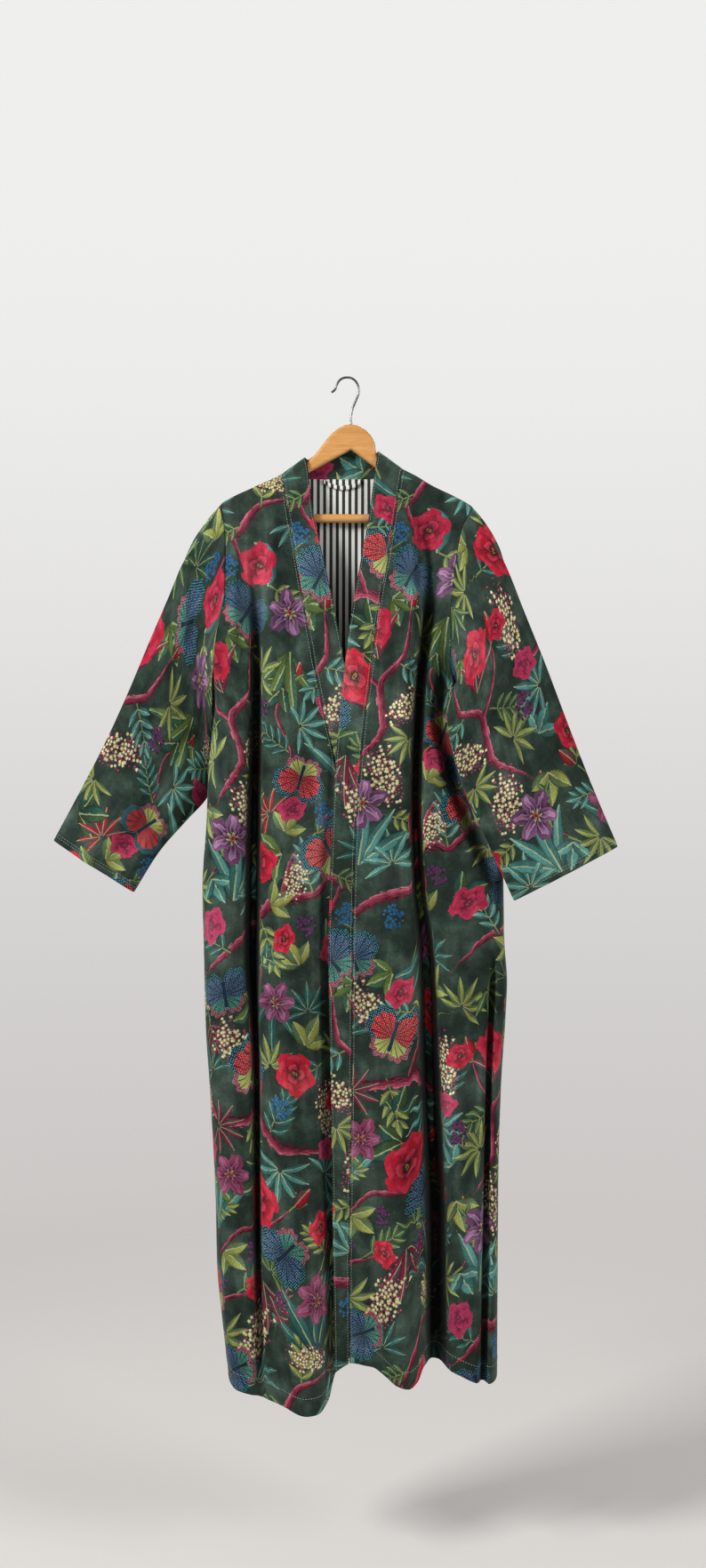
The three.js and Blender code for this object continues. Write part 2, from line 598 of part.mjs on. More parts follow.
// Long soft creases that run down each sleeve: at is the share across the front, out how far it stands.
const sleeveCreases = {
  left: [
    { at: 0.42, out: 4, wide: 0.12, from: 1, to: 7 },
    { at: 0.72, out: -4, wide: 0.1, from: 1, to: 5 },
  ],
  right: [
    { at: 0.62, out: 4, wide: 0.12, from: 1, to: 6 },
    { at: 0.3, out: -3, wide: 0.1, from: 1, to: 4 },
  ],
};
const SLEEVE_FLATNESS = 0.38;
const SLEEVE_CLEAR = 2.6; // between a sleeve and the part of the body that it hangs against
const SLEEVE_BELLY = 7; // how far a sleeve first runs outwards from the back armhole
const SLEEVE_HOLLOW = 7; // least depth of a sleeve from front to back, where it is pressed flat
function sleeve(hand) {
  const left = hand === "left";
  const tipZ = ridgeAt(left ? -185 : 186);
  // Round the ring: down the front from the shoulder tip to the underarm, then up the back.
  const stations = [
    ...armholeRows.map((t) => ({ t, side: -1 })),
    ...armholeRows.slice(1, -1).reverse().map((t) => ({ t, side: 1 })),
  ];
  const armholeRing = stations.map(({ t, side }) => {
    const z = mix(tipZ, UNDERARM[hand], t);
    const x = outline[hand][side < 0 ? "front" : "back"](z);
    const y = side < 0 ? frontDepth(x, z) : backDepth(x, z);
    return new THREE.Vector3(x + (left ? -1 : 1) * (SEAM + 2.2 * rolled(hand, z)), y, z);
  });
  // Keeps a point of a later ring clear of the body: the right sleeve in front of it, the left one behind.
  const clearOfBody = (point, side, t) => {
    const inside = left ? point.x - outline.left.back(point.z) : outline.right.front(point.z) - point.x;
    if (inside < -SLEEVE_CLEAR) return point;
    const hollow = (left ? side > 0 : side < 0) ? SLEEVE_HOLLOW : 0;
    const probe = point.x + (left ? 1 : -1) * SLEEVE_CLEAR;
    const clear = left
      ? Math.max(point.y, backDepth(probe, point.z) + SLEEVE_CLEAR + hollow)
      : Math.min(point.y, frontDepth(probe, point.z) - SLEEVE_CLEAR - hollow);
    point.y = mix(point.y, clear, smooth(0.72, 0.88, t));
    return point;
  };
  const freeRings = sleeveRings[hand].map((ring, number) =>
    stations.map(({ t, side }) => {
      const crease = sleeveCreases[hand].reduce((sum, fold) => {
        const strength = smooth(fold.from - 1, fold.from + 1, number) * (1 - smooth(fold.to, fold.to + 2, number));
        return sum + fold.out * strength * Math.exp(-(((t - fold.at) / fold.wide) ** 2));
      }, 0);
      const thick = ring.half * Math.pow(4 * t * (1 - t), SLEEVE_FLATNESS) + crease;
      return new THREE.Vector3(mix(ring.outX, ring.inX, t), mix(ring.outY, ring.inY, t) + side * thick, mix(ring.outZ, ring.inZ, t));
    }),
  );
  const underarm = armholeRows.length - 1;
  const rootRings = sleeveRoots[hand].map(({ share, inX, inY, inZ }) => {
    const ring = armholeRing.map((start, i) => start.clone().lerp(freeRings[0][i], share));
    // Behind the armhole the cloth first runs outwards.
    ring.forEach((point, i) => {
      if (stations[i].side > 0) point.x += (left ? -1 : 1) * 4 * SLEEVE_BELLY * share * (1 - share);
    });
    const pull = new THREE.Vector3(inX, inY, inZ).sub(ring[underarm]);
    return ring.map((point, i) => point.addScaledVector(pull, smooth(0.72, 1, stations[i].t)));
  });
  const laterRings = [...rootRings, ...freeRings].map((ring) => ring.map((point, i) => clearOfBody(point, stations[i].side, stations[i].t)));
  const edgeNormal = (normal, point, r) => {
    if (r === 0) normal.x = 0;
  };
  return wallGeometry([armholeRing, ...laterRings], VELVET, left ? -1 : 1, { ring: true, edgeNormal });
}

// The hanging loop: a short strip of the lining cloth, sewn in under the back band.
const LOOP_WIDTH = 6;
const LOOP_THICKNESS = 2;
function hangingLoop() {
  const lie = [
    { x: -34, z: -144 },
    { x: -24, z: -150 },
    { x: -6, z: -154 },
    { x: 10, z: -151 },
    { x: 21, z: -144 },
  ];
  const points = lie.map(({ x, z }) => insideBack(x, z, VELVET + LINING_SPACE + LINING + 1.4 * SEAM));
  const path = new THREE.CatmullRomCurve3(points, false, "centripetal");
  const steps = 12;
  const grid = Array.from({ length: steps + 1 }, (_, i) => {
    const middle = path.getPoint(i / steps);
    return [-0.5, 0.5].map((side) => new THREE.Vector3(middle.x, middle.y, middle.z + side * LOOP_WIDTH));
  });
  return wallGeometry(grid, LOOP_THICKNESS, 1);
}

// The hanger's wooden body: a round head, a notch under it, and two arms that run down to the shoulders.
function hangerWood() {
  const underCloth = (x) => [x, DATUM + ridgeAt(x) - VELVET - 1.3];
  const outlinePoints = [
    ...[-184, -172, -160, -148, -136, -124, -112, -104].map(underCloth),
    [-94, -148],
    [-80, -141],
    [-66, -130],
    [-56, -121],
    [-47, -112],
    [-39, -102],
    [-31, -91],
    [-22, -81],
    [-12, -73.5],
    [-3, -69],
    [6, -67.5],
    [17, -70],
    [28, -76],
    [37, -86],
    [42, -96],
    [43, -106],
    [46, -116],
    [52, -121],
    [60, -128],
    [70, -138],
    [78, -145],
    [92, -147],
    ...[104, 115, 126, 143, 160, 172, 184].map(underCloth),
    [190, -202],
    [190, -219],
    [184, -226],
    [172, -226],
    [168, -220],
    [168, -202],
    [150, -196],
    [100, -170],
    [62, -147],
    [6, -106],
    [-54, -138],
    [-100, -164],
    [-146, -189],
    [-164, -197],
    [-164, -212],
    [-168, -218],
    [-182, -217],
    [-188, -210],
    [-188, -194],
  ];
  const shape = new THREE.Shape(outlinePoints.map(([x, z]) => new THREE.Vector2(x, z)));
  const round = 4.5;
  const geometry = new THREE.ExtrudeGeometry(shape, {
    depth: WOOD - 2 * round,
    bevelEnabled: true,
    bevelThickness: round,
    bevelSize: round,
    bevelOffset: -round,
    bevelSegments: 2,
    curveSegments: 1,
  });
  return geometry.rotateX(Math.PI / 2).translate(0, (WOOD - 2 * round) / 2, 0);
}

function trouserBar() {
  const [from, to] = [-163.6, 167.6];
  const middle = (from + to) / 2;
  const bar = new THREE.CylinderGeometry(BAR / 2, BAR / 2, to - from, 12);
  return bar.rotateZ(Math.PI / 2).rotateY(CAMBER / 2).translate(middle, 0, -207);
}

// The hook: a stem, an open crown over the nail, and a turned-back tip.
function hangerHook() {
  const line = [
    [6.5, -67.2],
    [6.5, -54],
    [8.5, -44],
    [13.5, -32],
    [17.5, -20],
    [16, -9],
    [9, -0.5],
    [0, WIRE / 2],
    [-9, -1],
    [-14.5, -8],
    [-17.5, -16],
    [-22.5, -20.5],
  ].map(([x, z]) => new THREE.Vector3(x, 0, z));
  const path = new THREE.CatmullRomCurve3(line, false, "centripetal");
  const section = new THREE.Shape().absarc(0, 0, WIRE / 2, 0, 2 * Math.PI);
  return new THREE.ExtrudeGeometry(section, { extrudePath: path, steps: 28, curveSegments: 4, bevelEnabled: false });
}

const finishes = {
  velvet: { color: 0x2f4239, roughness: 0.85, metalness: 0 },
  lining: { color: 0xc9cabf, roughness: 0.9, metalness: 0 },
  wood: { color: 0xd9a55f, roughness: 0.45, metalness: 0 },
  steel: { color: 0x8c8e90, roughness: 0.3, metalness: 1 },
};
const gown = new THREE.Group();
function add(name, geometry, finish) {
  const mesh = new THREE.Mesh(geometry, new THREE.MeshStandardMaterial(finishes[finish]));
  mesh.name = name;
  gown.add(mesh);
}
const hung = (geometry) => geometry.translate(0, 0, DATUM);
add("front_left", hung(frontPanel("left")), "velvet");
add("front_right", hung(frontPanel("right")), "velvet");
add("back", hung(backPanel()), "velvet");
add("sleeve_left", hung(sleeve("left")), "velvet");
add("sleeve_right", hung(sleeve("right")), "velvet");
add("band_left", hung(bandPiece(bandLeft, underlapDepth, 1, 2 * SEAM)), "velvet");
add("band_right", hung(bandPiece(bandRight, frontDepth, -1, 1.5 * SEAM)), "velvet");
add("band_back", hung(bandPiece(bandBack, (x, z) => backDepth(x, z) + SEAM, 1, 2 * SEAM)), "velvet");
add("back_lining", hung(backLining()), "lining");
add("hanging_loop", hung(hangingLoop()), "lining");
add("hanger_wood", hangerWood(), "wood");
add("hanger_bar", trouserBar(), "wood");
add("hanger_hook", hangerHook(), "steel");

export default gown;
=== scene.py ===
# %% [markdown]
# # A lined velvet dressing gown on its wooden hanger
# The gown is cut like a kimono: two fronts, a back, two wide sleeves and one long neckband.
# Each cut piece of cloth becomes one thin closed shell. Its shape is worked out from the same
# few sizes as the CAD solid that it stands for, on a much finer grid, and the small creases
# are laid over it. Sizes are in millimetres until a mesh is made, and metres after that.

# %% The frame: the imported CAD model
import math

import bpy
import numpy as np
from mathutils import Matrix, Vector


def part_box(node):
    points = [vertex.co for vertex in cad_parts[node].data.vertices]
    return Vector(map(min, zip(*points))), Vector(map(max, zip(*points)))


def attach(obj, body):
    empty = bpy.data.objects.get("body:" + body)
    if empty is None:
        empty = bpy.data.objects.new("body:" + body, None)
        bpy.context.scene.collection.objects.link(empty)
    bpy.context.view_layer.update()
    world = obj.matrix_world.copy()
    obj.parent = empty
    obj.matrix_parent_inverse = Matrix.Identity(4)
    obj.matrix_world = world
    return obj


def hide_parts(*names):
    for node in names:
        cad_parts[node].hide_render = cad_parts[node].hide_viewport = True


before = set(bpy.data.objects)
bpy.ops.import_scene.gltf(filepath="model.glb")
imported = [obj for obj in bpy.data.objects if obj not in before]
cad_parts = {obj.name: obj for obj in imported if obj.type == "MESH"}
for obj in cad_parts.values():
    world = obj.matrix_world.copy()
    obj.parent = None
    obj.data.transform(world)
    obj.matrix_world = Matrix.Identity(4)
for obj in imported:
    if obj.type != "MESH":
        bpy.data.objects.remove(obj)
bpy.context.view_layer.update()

MM = 0.001


def placed(name, data):
    """A new object in the scene, at the origin."""
    thing = bpy.data.objects.new(name, data)
    bpy.context.scene.collection.objects.link(thing)
    return thing


# %% [markdown]
# ## Camera
# The picture is an upright one, taken square on from about two and a half metres, level with
# the chest. A camera without tilt keeps the gown's upright lines upright, so only its place
# and its lens are set, and neither shift nor depth of field is needed.

# %% Camera
CAMERA_AT = (0.009, -2.450, -0.600)
LENS = 38.0
camera = placed("camera", bpy.data.cameras.new("camera"))
camera.location = CAMERA_AT
camera.rotation_euler = (math.radians(90), 0, 0)
camera.data.sensor_width = 36.0
camera.data.lens = LENS
bpy.context.scene.camera = camera
print("camera at", CAMERA_AT, "lens", LENS)

# %% [markdown]
# ## Curves through tables
# A tailor draws an edge as a smooth line through a few measured points. `curve_through` does
# that: a cubic that never overshoots its points, so a fold can end at nothing and stay there.
# It takes whole arrays at once, because a gown needs a hundred thousand points.

# %% Curve helpers
def curve_through(rows, key=0, value=1):
    rows = sorted(rows, key=lambda row: row[key])
    at = np.array([row[key] for row in rows], float)
    return curve_of(at, np.array([row[value] for row in rows], float))


def curve_of(at, values):
    extra = (1,) * (values.ndim - 1)
    step = np.diff(at).reshape(-1, *extra)
    slope = np.diff(values, axis=0) / step
    before, after = slope[:-1], slope[1:]
    level = before * after <= 0
    middle = np.where(level, 0, 2 * before * after / np.where(level, 1, before + after))
    tangent = np.concatenate([slope[:1], middle, slope[-1:]])

    def value(where):
        where = np.clip(where, at[0], at[-1])
        i = np.clip(np.searchsorted(at, where, side="right") - 1, 0, len(at) - 2)
        width = (at[i + 1] - at[i]).reshape(np.shape(i) + extra)
        t = ((where - at[i]) / (at[i + 1] - at[i])).reshape(np.shape(i) + extra)
        return (
            values[i] * (2 * t**3 - 3 * t**2 + 1)
            + values[i + 1] * (3 * t**2 - 2 * t**3)
            + width * (tangent[i] * (t**3 - 2 * t**2 + t) + tangent[i + 1] * (t**3 - t**2))
        )

    return value


def mix(a, b, t):
    return a + (b - a) * t


def smooth(start, end, at):
    t = np.clip((at - start) / (end - start), 0, 1)
    return t * t * (3 - 2 * t)


def quarter_round(distance, radius):
    t = np.clip(distance / radius, 0, 1)
    return np.sqrt(1 - (1 - t) ** 2)


# %% [markdown]
# ## The gown's sizes
# These are the cut and the hang of the real garment, in millimetres: x to the right as seen
# from the front, z up from the hook. `DATUM` drops the whole garment to where the hanger
# carries it.

# %% Sizes of the cloth
VELVET, BAND, LINING = 2.0, 2.4, 1.0
SEAM = 0.1  # cloth sewn edge to edge shows a hairline
ROLL = 9.5
SIDE_ROLL = 18
SIDE_DEPTH = 4
UNDERLAP = 4.6
DATUM = -7
UNDERARM = {"left": -473, "right": -486}
TIP = {"left": -185, "right": 186}
NECK = {"left": -95, "right": 82}
NECKLINE = (-94, 81)  # where the back's sewn neckline starts and ends
HEM = {"left": (-176, 8), "right": (222, 4)}  # each front's hem, from the side to the band
INWARD = {"left": 1, "right": -1}

ridge_at = curve_through([(-198, -190), (-185, -177), (-135, -152), (-95, -133), (-62, -109), (-50, -99),
    (-38, -93), (0, -90), (30, -90), (40, -95), (46, -100), (60, -110), (82, -126), (103, -137), (126, -151),
    (161, -168), (186, -183), (196, -196)])
side_edge = {
    "left": [(-473, -195), (-520, -200), (-571, -205), (-651, -208), (-745, -214), (-824, -212), (-946, -209),
             (-1039, -203), (-1208, -194), (-1300, -192), (-1383, -184), (-1452, -176)],
    "right": [(-486, 188), (-551, 205), (-629, 221), (-707, 231), (-824, 233), (-885, 237), (-932, 235),
              (-1039, 228), (-1176, 224), (-1455, 222)],
}
armhole = {
    ("left", "front"): [(-178, -185), (-240, -178), (-317, -179), (-373, -191), (-430, -196)],
    ("right", "front"): [(-183, 186), (-216, 169), (-278, 158), (-343, 152), (-408, 152), (-455, 163)],
    ("left", "back"): [(-178, -185), (-260, -190), (-360, -194)],
    ("right", "back"): [(-183, 186), (-260, 191), (-360, 193), (-440, 192)],
}
outline = {(hand, face): curve_through(rows + side_edge[hand]) for (hand, face), rows in armhole.items()}
hem_front = {"left": curve_through([(-176, -1452), (-172, -1463), (-129, -1480), (-92, -1491), (-61, -1497),
    (-38, -1497), (-26, -1490), (-18, -1460), (-8, -1441), (8, -1437)]),
    "right": curve_through([(4, -1436), (36, -1438), (55, -1450), (72, -1461), (90, -1463), (102, -1456),
    (113, -1438), (147, -1444), (193, -1459), (222, -1462)])}
hem_back = curve_through([(-176, -1450), (-130, -1440), (60, -1436), (222, -1458)])
fullness = [(-120, 0.4, 2.6), (-250, 7, 5), (-400, 17, 6), (-600, 23, 9), (-900, 29, 12), (-1200, 37, 16),
    (-1500, 44, 20)]
front_fullness, back_fullness = curve_through(fullness, 0, 1), curve_through(fullness, 0, 2)

# %% [markdown]
# ## Hanging folds
# A gown that hangs from two shoulders falls in a few long rolls with narrow valleys between
# them. Each fold is a table of heights: where its line runs, how far it stands out (a valley
# is negative) and how wide it is. A bell curve across that line gives it a soft shape.

# %% Fold tables: z, x, out, wide
front_folds = {"left_roll": [(-380, -172, 0, 24), (-600, -172, 11, 24), (-900, -174, 13, 24),
    (-1200, -165, 9, 22), (-1500, -152, 4, 22)], "left_gully": [(-300, -129, 0, 9), (-400, -132, -16, 8),
    (-520, -134, -34, 9), (-740, -138, -46, 10), (-840, -139, -44, 10), (-920, -136, -34, 7),
    (-1010, -132, -26, 5.5), (-1250, -130, -24, 5.5), (-1380, -127, -15, 6), (-1500, -124, -3, 9)],
    "left_swell": [(-250, -85, 0, 22), (-400, -97, 8, 22), (-600, -98, 15, 26), (-900, -92, 18, 28),
    (-1200, -84, 20, 29), (-1380, -68, 27, 30), (-1520, -54, 35, 32)],
    "left_shoulder_pleat": [(-150, -106, 0, 9), (-200, -107, 8, 9), (-300, -110, 12, 10), (-420, -113, 7, 11),
    (-560, -114, 0, 12)], "left_sleeve_head": [(-195, -168, 0, 10), (-250, -165, 10, 10), (-330, -165, 9, 10),
    (-430, -172, 0, 11)], "left_chest_gully": [(-180, -136, 0, 7), (-260, -136, -5, 8), (-340, -134, -6, 8),
    (-430, -134, 0, 8)], "hem_dip": [(-1250, 6, 0, 16), (-1500, 8, -15, 18)],
    "right_shoulder_pleat": [(-160, 92, 0, 9), (-220, 95, 11, 9), (-330, 98, 14, 9), (-450, 84, 10, 10),
    (-650, 78, 0, 12)], "right_chest_gully": [(-190, 116, 0, 7), (-250, 118, -6, 8), (-330, 116, -7, 8),
    (-420, 112, 0, 8)], "right_gully": [(-230, 132, 0, 12), (-330, 121, -12, 10), (-460, 107, -28, 8),
    (-616, 101, -38, 8), (-746, 106, -44, 9), (-850, 117, -48, 11), (-1006, 122, -50, 13),
    (-1266, 131, -50, 14), (-1500, 130, -42, 15)], "right_sleeve_gully": [(-340, 149, 0, 9),
    (-420, 145, -9, 9), (-500, 138, -15, 11), (-560, 150, -17, 11), (-640, 176, -17, 12),
    (-700, 202, -14, 11), (-770, 232, 0, 9)], "right_edge_gully": [(-830, 214, 0, 5), (-900, 212, -14, 5),
    (-1100, 205, -18, 5), (-1460, 197, -18, 5.5)], "right_swell": [(-500, 52, 0, 26), (-800, 62, 9, 27),
    (-1100, 72, 13, 26), (-1300, 80, 17, 25), (-1500, 88, 22, 23)],
    "right_roll": [(-740, 160, 0, 22), (-860, 158, 10, 20), (-1050, 160, 14, 20), (-1250, 166, 13, 22),
    (-1500, 190, 9, 24)]}
back_folds = {
    "left_roll": [(-300, -150, 0, 22), (-700, -146, 7, 24), (-1500, -138, 12, 26)],
    "left_gully": [(-420, -96, 0, 14), (-800, -94, -11, 12), (-1500, -88, -17, 14)],
    "middle_roll": [(-260, -14, 0, 30), (-800, -20, 8, 30), (-1500, -26, 13, 30)],
    "right_gully": [(-380, 70, 0, 14), (-900, 64, -12, 12), (-1500, 58, -18, 14)],
    "right_roll": [(-420, 148, 0, 24), (-800, 146, 8, 24), (-1500, 140, 13, 26)],
}


ROLL_POWER, GULLY_POWER = 2.0, 3.0  # a gully has steeper walls and a flatter bed than a roll


def fold_curves(tables):
    return [[curve_through(rows, 0, column) for column in (1, 2,
        3)] + [GULLY_POWER if "gully" in name else ROLL_POWER] for name, rows in tables.items()]


front_fold_curves, back_fold_curves = fold_curves(front_folds), fold_curves(back_folds)


def folds_at(curves, x, z):
    return sum((out(z) * np.exp(-np.abs((x - line(z)) / wide(z)) ** power) for line, out, wide,
        power in curves))


# %% [markdown]
# ## Small creases
# Velvet keeps a memory of how it was folded and held: short soft creases, no two alike. They
# could come from a noise texture, but then they would sit anywhere. Placed one by one, each one
# runs where the real cloth pulls: down from the shoulders, out of the armholes, beside the
# deep folds and above the hem.

# %% Crease tables: from x, z to x, z, how bowed, out, wide
front_creases = [(-150, -215, -118, -330, 6, 1.6, 9), (-140, -235, -150, -420, -5, -1.8, 8),
    (-96, -170, -88, -300, 3, 1.6, 8), (-120, -190, -128, -300, -4, -1.6, 7),
    (-172, -420, -158, -560, 6, 2.2, 9), (-180, -500, -120, -640, -10, 1.8, 9),
    (-188, -470, -150, -520, 6, -2.0, 8), (-60, -420, -76, -640, 5, 1.8, 10),
    (-50, -520, -46, -760, -4, -2.0, 9), (-70, -700, -58, -960, 6, 1.8, 12),
    (-30, -640, -34, -900, -5, 1.6, 9), (-20, -930, -40, -1180, 4, -1.8, 9),
    (-112, -640, -116, -860, 3, -1.6, 8), (-160, -760, -186, -980, 5, 1.8, 10),
    (-190, -900, -176, -1160, -5, -1.8, 8), (-150, -1060, -164, -1300, 4, 1.8, 9),
    (-110, -1040, -100, -1240, -4, 2.0, 10), (-60, -1100, -36, -1330, -6, 1.8, 10),
    (-96, -1280, -112, -1470, 4, -2.4, 10), (-30, -1250, -16, -1450, -3, -2.2, 8),
    (-76, -1330, -82, -1480, 3, 1.8, 9), (-150, -1330, -146, -1460, 2, -2.0, 9),
    (-176, -1200, -168, -1400, 3, 1.6, 9), (62, -170, 66, -330, 3, 1.6, 8),
    (118, -190, 126, -330, -5, 1.8, 8), (142, -230, 134, -400, 4, -1.6, 8), (60, -330, 74, -480, -4, -1.8, 9),
    (150, -420, 128, -600, -8, 2.0, 9), (178, -520, 140, -640, 8, -2.2, 9),
    (196, -540, 160, -720, 10, 2.0, 10), (40, -560, 48, -800, 4, 1.8, 10), (64, -620, 84, -860, -5, -1.8, 9),
    (30, -760, 34, -1000, 3, -1.8, 9), (86, -780, 92, -1010, -4, 1.8, 9), (146, -700, 150, -900, 5, -1.6, 8),
    (190, -700, 196, -960, -4, 2.0, 10), (212, -860, 206, -1120, 3, -2.4, 6),
    (206, -1100, 198, -1462, -3, -2.8, 6), (182, -980, 178, -1240, 4, -1.8, 9),
    (30, -1040, 52, -1280, -5, 1.8, 10), (96, -1060, 100, -1300, 4, -1.8, 9),
    (150, -1120, 152, -1350, -3, 1.8, 9), (40, -1240, 36, -1430, 2, -2.0, 9),
    (66, -1300, 62, -1450, 3, 1.8, 9), (174, -1300, 184, -1450, -3, -2.2, 9),
    (210, -1280, 214, -1450, 2, 1.8, 8), (104, -1320, 110, -1440, 2, 1.8, 7),
    (10, -240, 20, -250, 0, 0.5, 12)]
back_creases = [(-150, -200, -120, -420, 8, 1.8, 10), (-176, -300, -150, -520, -8, -2.0, 10),
    (-60, -170, -70, -420, 5, 1.6, 12), (20, -160, 34, -420, -6, -1.8, 12), (110, -180, 90, -400, 8, 2.0, 11),
    (160, -260, 130, -500, -10, -2.2, 10), (-190, -480, -140, -640, 10, 2.2, 10),
    (190, -500, 140, -680, -10, 2.4, 10), (-40, -420, -36, -700, 5, -1.8, 10),
    (10, -520, 24, -820, -5, 2.0, 12), (110, -560, 106, -860, 5, -2.0, 10),
    (-130, -620, -126, -900, -5, 2.0, 10), (-180, -760, -176, -1060, 4, -2.0, 9),
    (190, -800, 196, -1080, -4, 2.0, 10), (-70, -820, -56, -1120, 6, -2.2, 11),
    (40, -900, 30, -1200, -5, 2.0, 12), (100, -960, 112, -1260, 4, -2.2, 10),
    (-120, -1060, -110, -1380, -5, 2.2, 11), (170, -1120, 164, -1420, 5, -2.2, 10),
    (-20, -1120, -8, -1400, 4, -2.2, 11), (60, -1240, 70, -1430, -3, 2.2, 10),
    (-60, -1240, -64, -1430, 3, 2.0, 9), (-160, -1240, -166, -1440, 3, -2.2, 9),
    (210, -1180, 206, -1440, -3, 2.0, 9)]


CREASE = 1.8  # the tables' heights are those of a light cloth; velvet creases deeper


def creases_at(table, x, z):
    total = 0
    for x0, z0, x1, z1, bow, out, wide in table:
        length = math.hypot(x1 - x0, z1 - z0)
        along_x, along_z = (x1 - x0) / length, (z1 - z0) / length
        t = ((x - x0) * along_x + (z - z0) * along_z) / length
        inside = np.clip(t, 0, 1)
        side = (x - x0) * along_z - (z - z0) * along_x - bow * 4 * inside * (1 - inside)
        total = total + CREASE * out * np.exp(-(side / wide) ** 2) * np.where((t > 0) & (t < 1),
            np.sin(math.pi * inside) ** 1.2, 0)
    return total


def unevenness(x, z, size=1.0):
    """The slow swells of hand-sewn cloth: a few long waves that never line up."""
    waves = ((211, 517, 0.4, 0.5), (149, 331, 2.1, 0.42), (97, 263, 4.4, 0.3), (61, 173, 1.3, 0.22),
        (43, 89, 5.2, 0.12))
    return size * sum(high * np.sin(2 * math.pi * (x / wx + z / wz) + turn) for wx, wz, turn, high in waves)


# %% Depth of the cloth in front of and behind the hanger
def rolled(hand, z):
    return 1 - smooth(UNDERARM[hand], UNDERARM[hand] + 90, z)


def close_to_side(depth, face, x, z):
    for hand in ("left", "right"):
        edge = outline[hand, face](z)
        inside = np.maximum(0, x - edge if hand == "left" else edge - x)
        around = mix(1, quarter_round(inside, SIDE_ROLL), rolled(hand, z))
        depth = SIDE_DEPTH + (depth - SIDE_DEPTH) * around
    return depth


def front_depth(x, z):
    below = ridge_at(x) - z
    small = creases_at(front_creases, x, z) + unevenness(x, z)
    swell = front_fullness(z) + folds_at(front_fold_curves, x, z) + small
    return close_to_side(-(ROLL * quarter_round(below, ROLL) + swell * smooth(0, 60, below)), "front", x, z)


def neck_calm(x, z):
    """The small creases die out towards the sewn back neckline."""
    start, end = NECKLINE
    beside = smooth(start - 26, start, x) * (1 - smooth(end, end + 26, x))
    return 1 - beside * (1 - smooth(0, 45, back_neckline(x) - z))


def back_depth(x, z, small=1.0):
    below = ridge_at(x) - z
    creases = small * neck_calm(x, z) * (creases_at(back_creases, x, z) + unevenness(x + 60, z + 90))
    swell = back_fullness(z) + folds_at(back_fold_curves, x, z) + creases
    return close_to_side(ROLL * quarter_round(below, ROLL) + swell * smooth(0, 60, below), "back", x, z)


# %% [markdown]
# ## The neckband's path
# One long doubled strip, sewn to the fronts and round the back of the neck. Each row of a
# table crosses the band from its seam to its free edge: seam x, z, then edge x, z.

# %% Neckband tables
band_rows = {"left": [(8, -1437, 44, -1432), (5, -1266, 41, -1266), (3, -1040, 39, -1040),
    (2, -824, 38, -824), (-1, -694, 35, -694), (-8, -616, 30, -612), (-19, -552, 21, -542),
    (-36, -478, 6, -462), (-57, -367, -15, -352), (-68, -304, -27, -292), (-78, -244, -40, -236),
    (-88, -190, -50, -190), (-93, -155, -55, -145), (-95, -140, -58, -122), (-95, -134, -61, -112),
    (-95, -133, -62, -109)], "right": [(4, -1436, -18, -1446), (4, -1292, -20, -1292), (7, -1071, -23, -1071),
    (9, -824, -27, -824), (12, -694, -23, -694), (15, -628, -20, -622), (19, -578, -17, -564),
    (26, -503, -11, -489), (34, -441, -4, -425), (43, -367, 5, -352), (52, -304, 15, -292),
    (61, -259, 22, -252), (69, -209, 31, -205), (76, -165, 38, -155), (81, -134, 43, -116),
    (82, -128, 45, -104), (82, -126, 46, -100)], "back": [(-95, -133, -62, -109), (-94, -134, -61, -111),
    (-90, -136.5, -58, -111), (-80, -139, -51, -106), (-64, -140, -40, -100), (-40, -140, -24, -96),
    (-5, -140, 0, -94.5), (30, -140, 22, -94.5), (52, -139, 34, -97), (68, -137, 41, -100),
    (78, -131.5, 44, -102), (81, -127.5, 45, -102), (82, -126, 46, -100)]}
seam_line = {hand: curve_through(band_rows[hand], 1, 0) for hand in ("left", "right")}
lap_edge = curve_through(band_rows["right"], 3, 2)
back_neckline = curve_through(band_rows["back"][1:-1], 0, 1)
gully_by_lap = curve_through([(-1500, 27), (-1340, 18), (-1000, 13), (-700, 8), (-500, 0)])


def underlap_depth(x, z):
    under = smooth(lap_edge(z) - 24, lap_edge(z) - 2, x)
    return front_depth(x, z) + (UNDERLAP + gully_by_lap(z)) * under


# %% [markdown]
# ## From a surface to a shell of cloth
# Every piece is a surface, a function of two shares across and down it. `spaced` finds shares
# that lie an even step apart on the cloth itself, so that deep folds get as many points as
# flat places. `shell` then gives the surface its thickness. Where an edge is free it is
# rounded like turned cloth; where it is sewn it sinks a little, as a seam does.
# Solidify could do the thickness, but here the inside also needs its own cloth: the lining.

# %% Even spacing
def spaced(surface, axis, ends, step, close=(False, False), cluster=(0.3, 1.1)):
    dense = np.linspace(ends[0], ends[1], 1601)
    probes = np.linspace(0.02, 0.98, 25)
    if axis == 0:
        points = surface(dense[None, :], (probes * 2)[:, None])
        steps = np.linalg.norm(np.diff(points, axis=1), axis=2).mean(0)
    else:
        points = surface(probes[None, :], dense[:, None])
        steps = np.linalg.norm(np.diff(points, axis=0), axis=2).mean(1)
    length = np.concatenate([[0], np.cumsum(steps)])
    wanted = np.linspace(0, length[-1], max(4, round(length[-1] / step)) + 1)
    for near, sign, start in ((close[0], 1, 0), (close[1], -1, length[-1])):
        if near:
            wanted = np.concatenate([wanted, [start + sign * distance for distance in cluster]])
    return np.interp(np.sort(wanted), length, dense)


# %% Shells
faces_seen = {}  # each piece's outer face and its directions, kept for the stitches


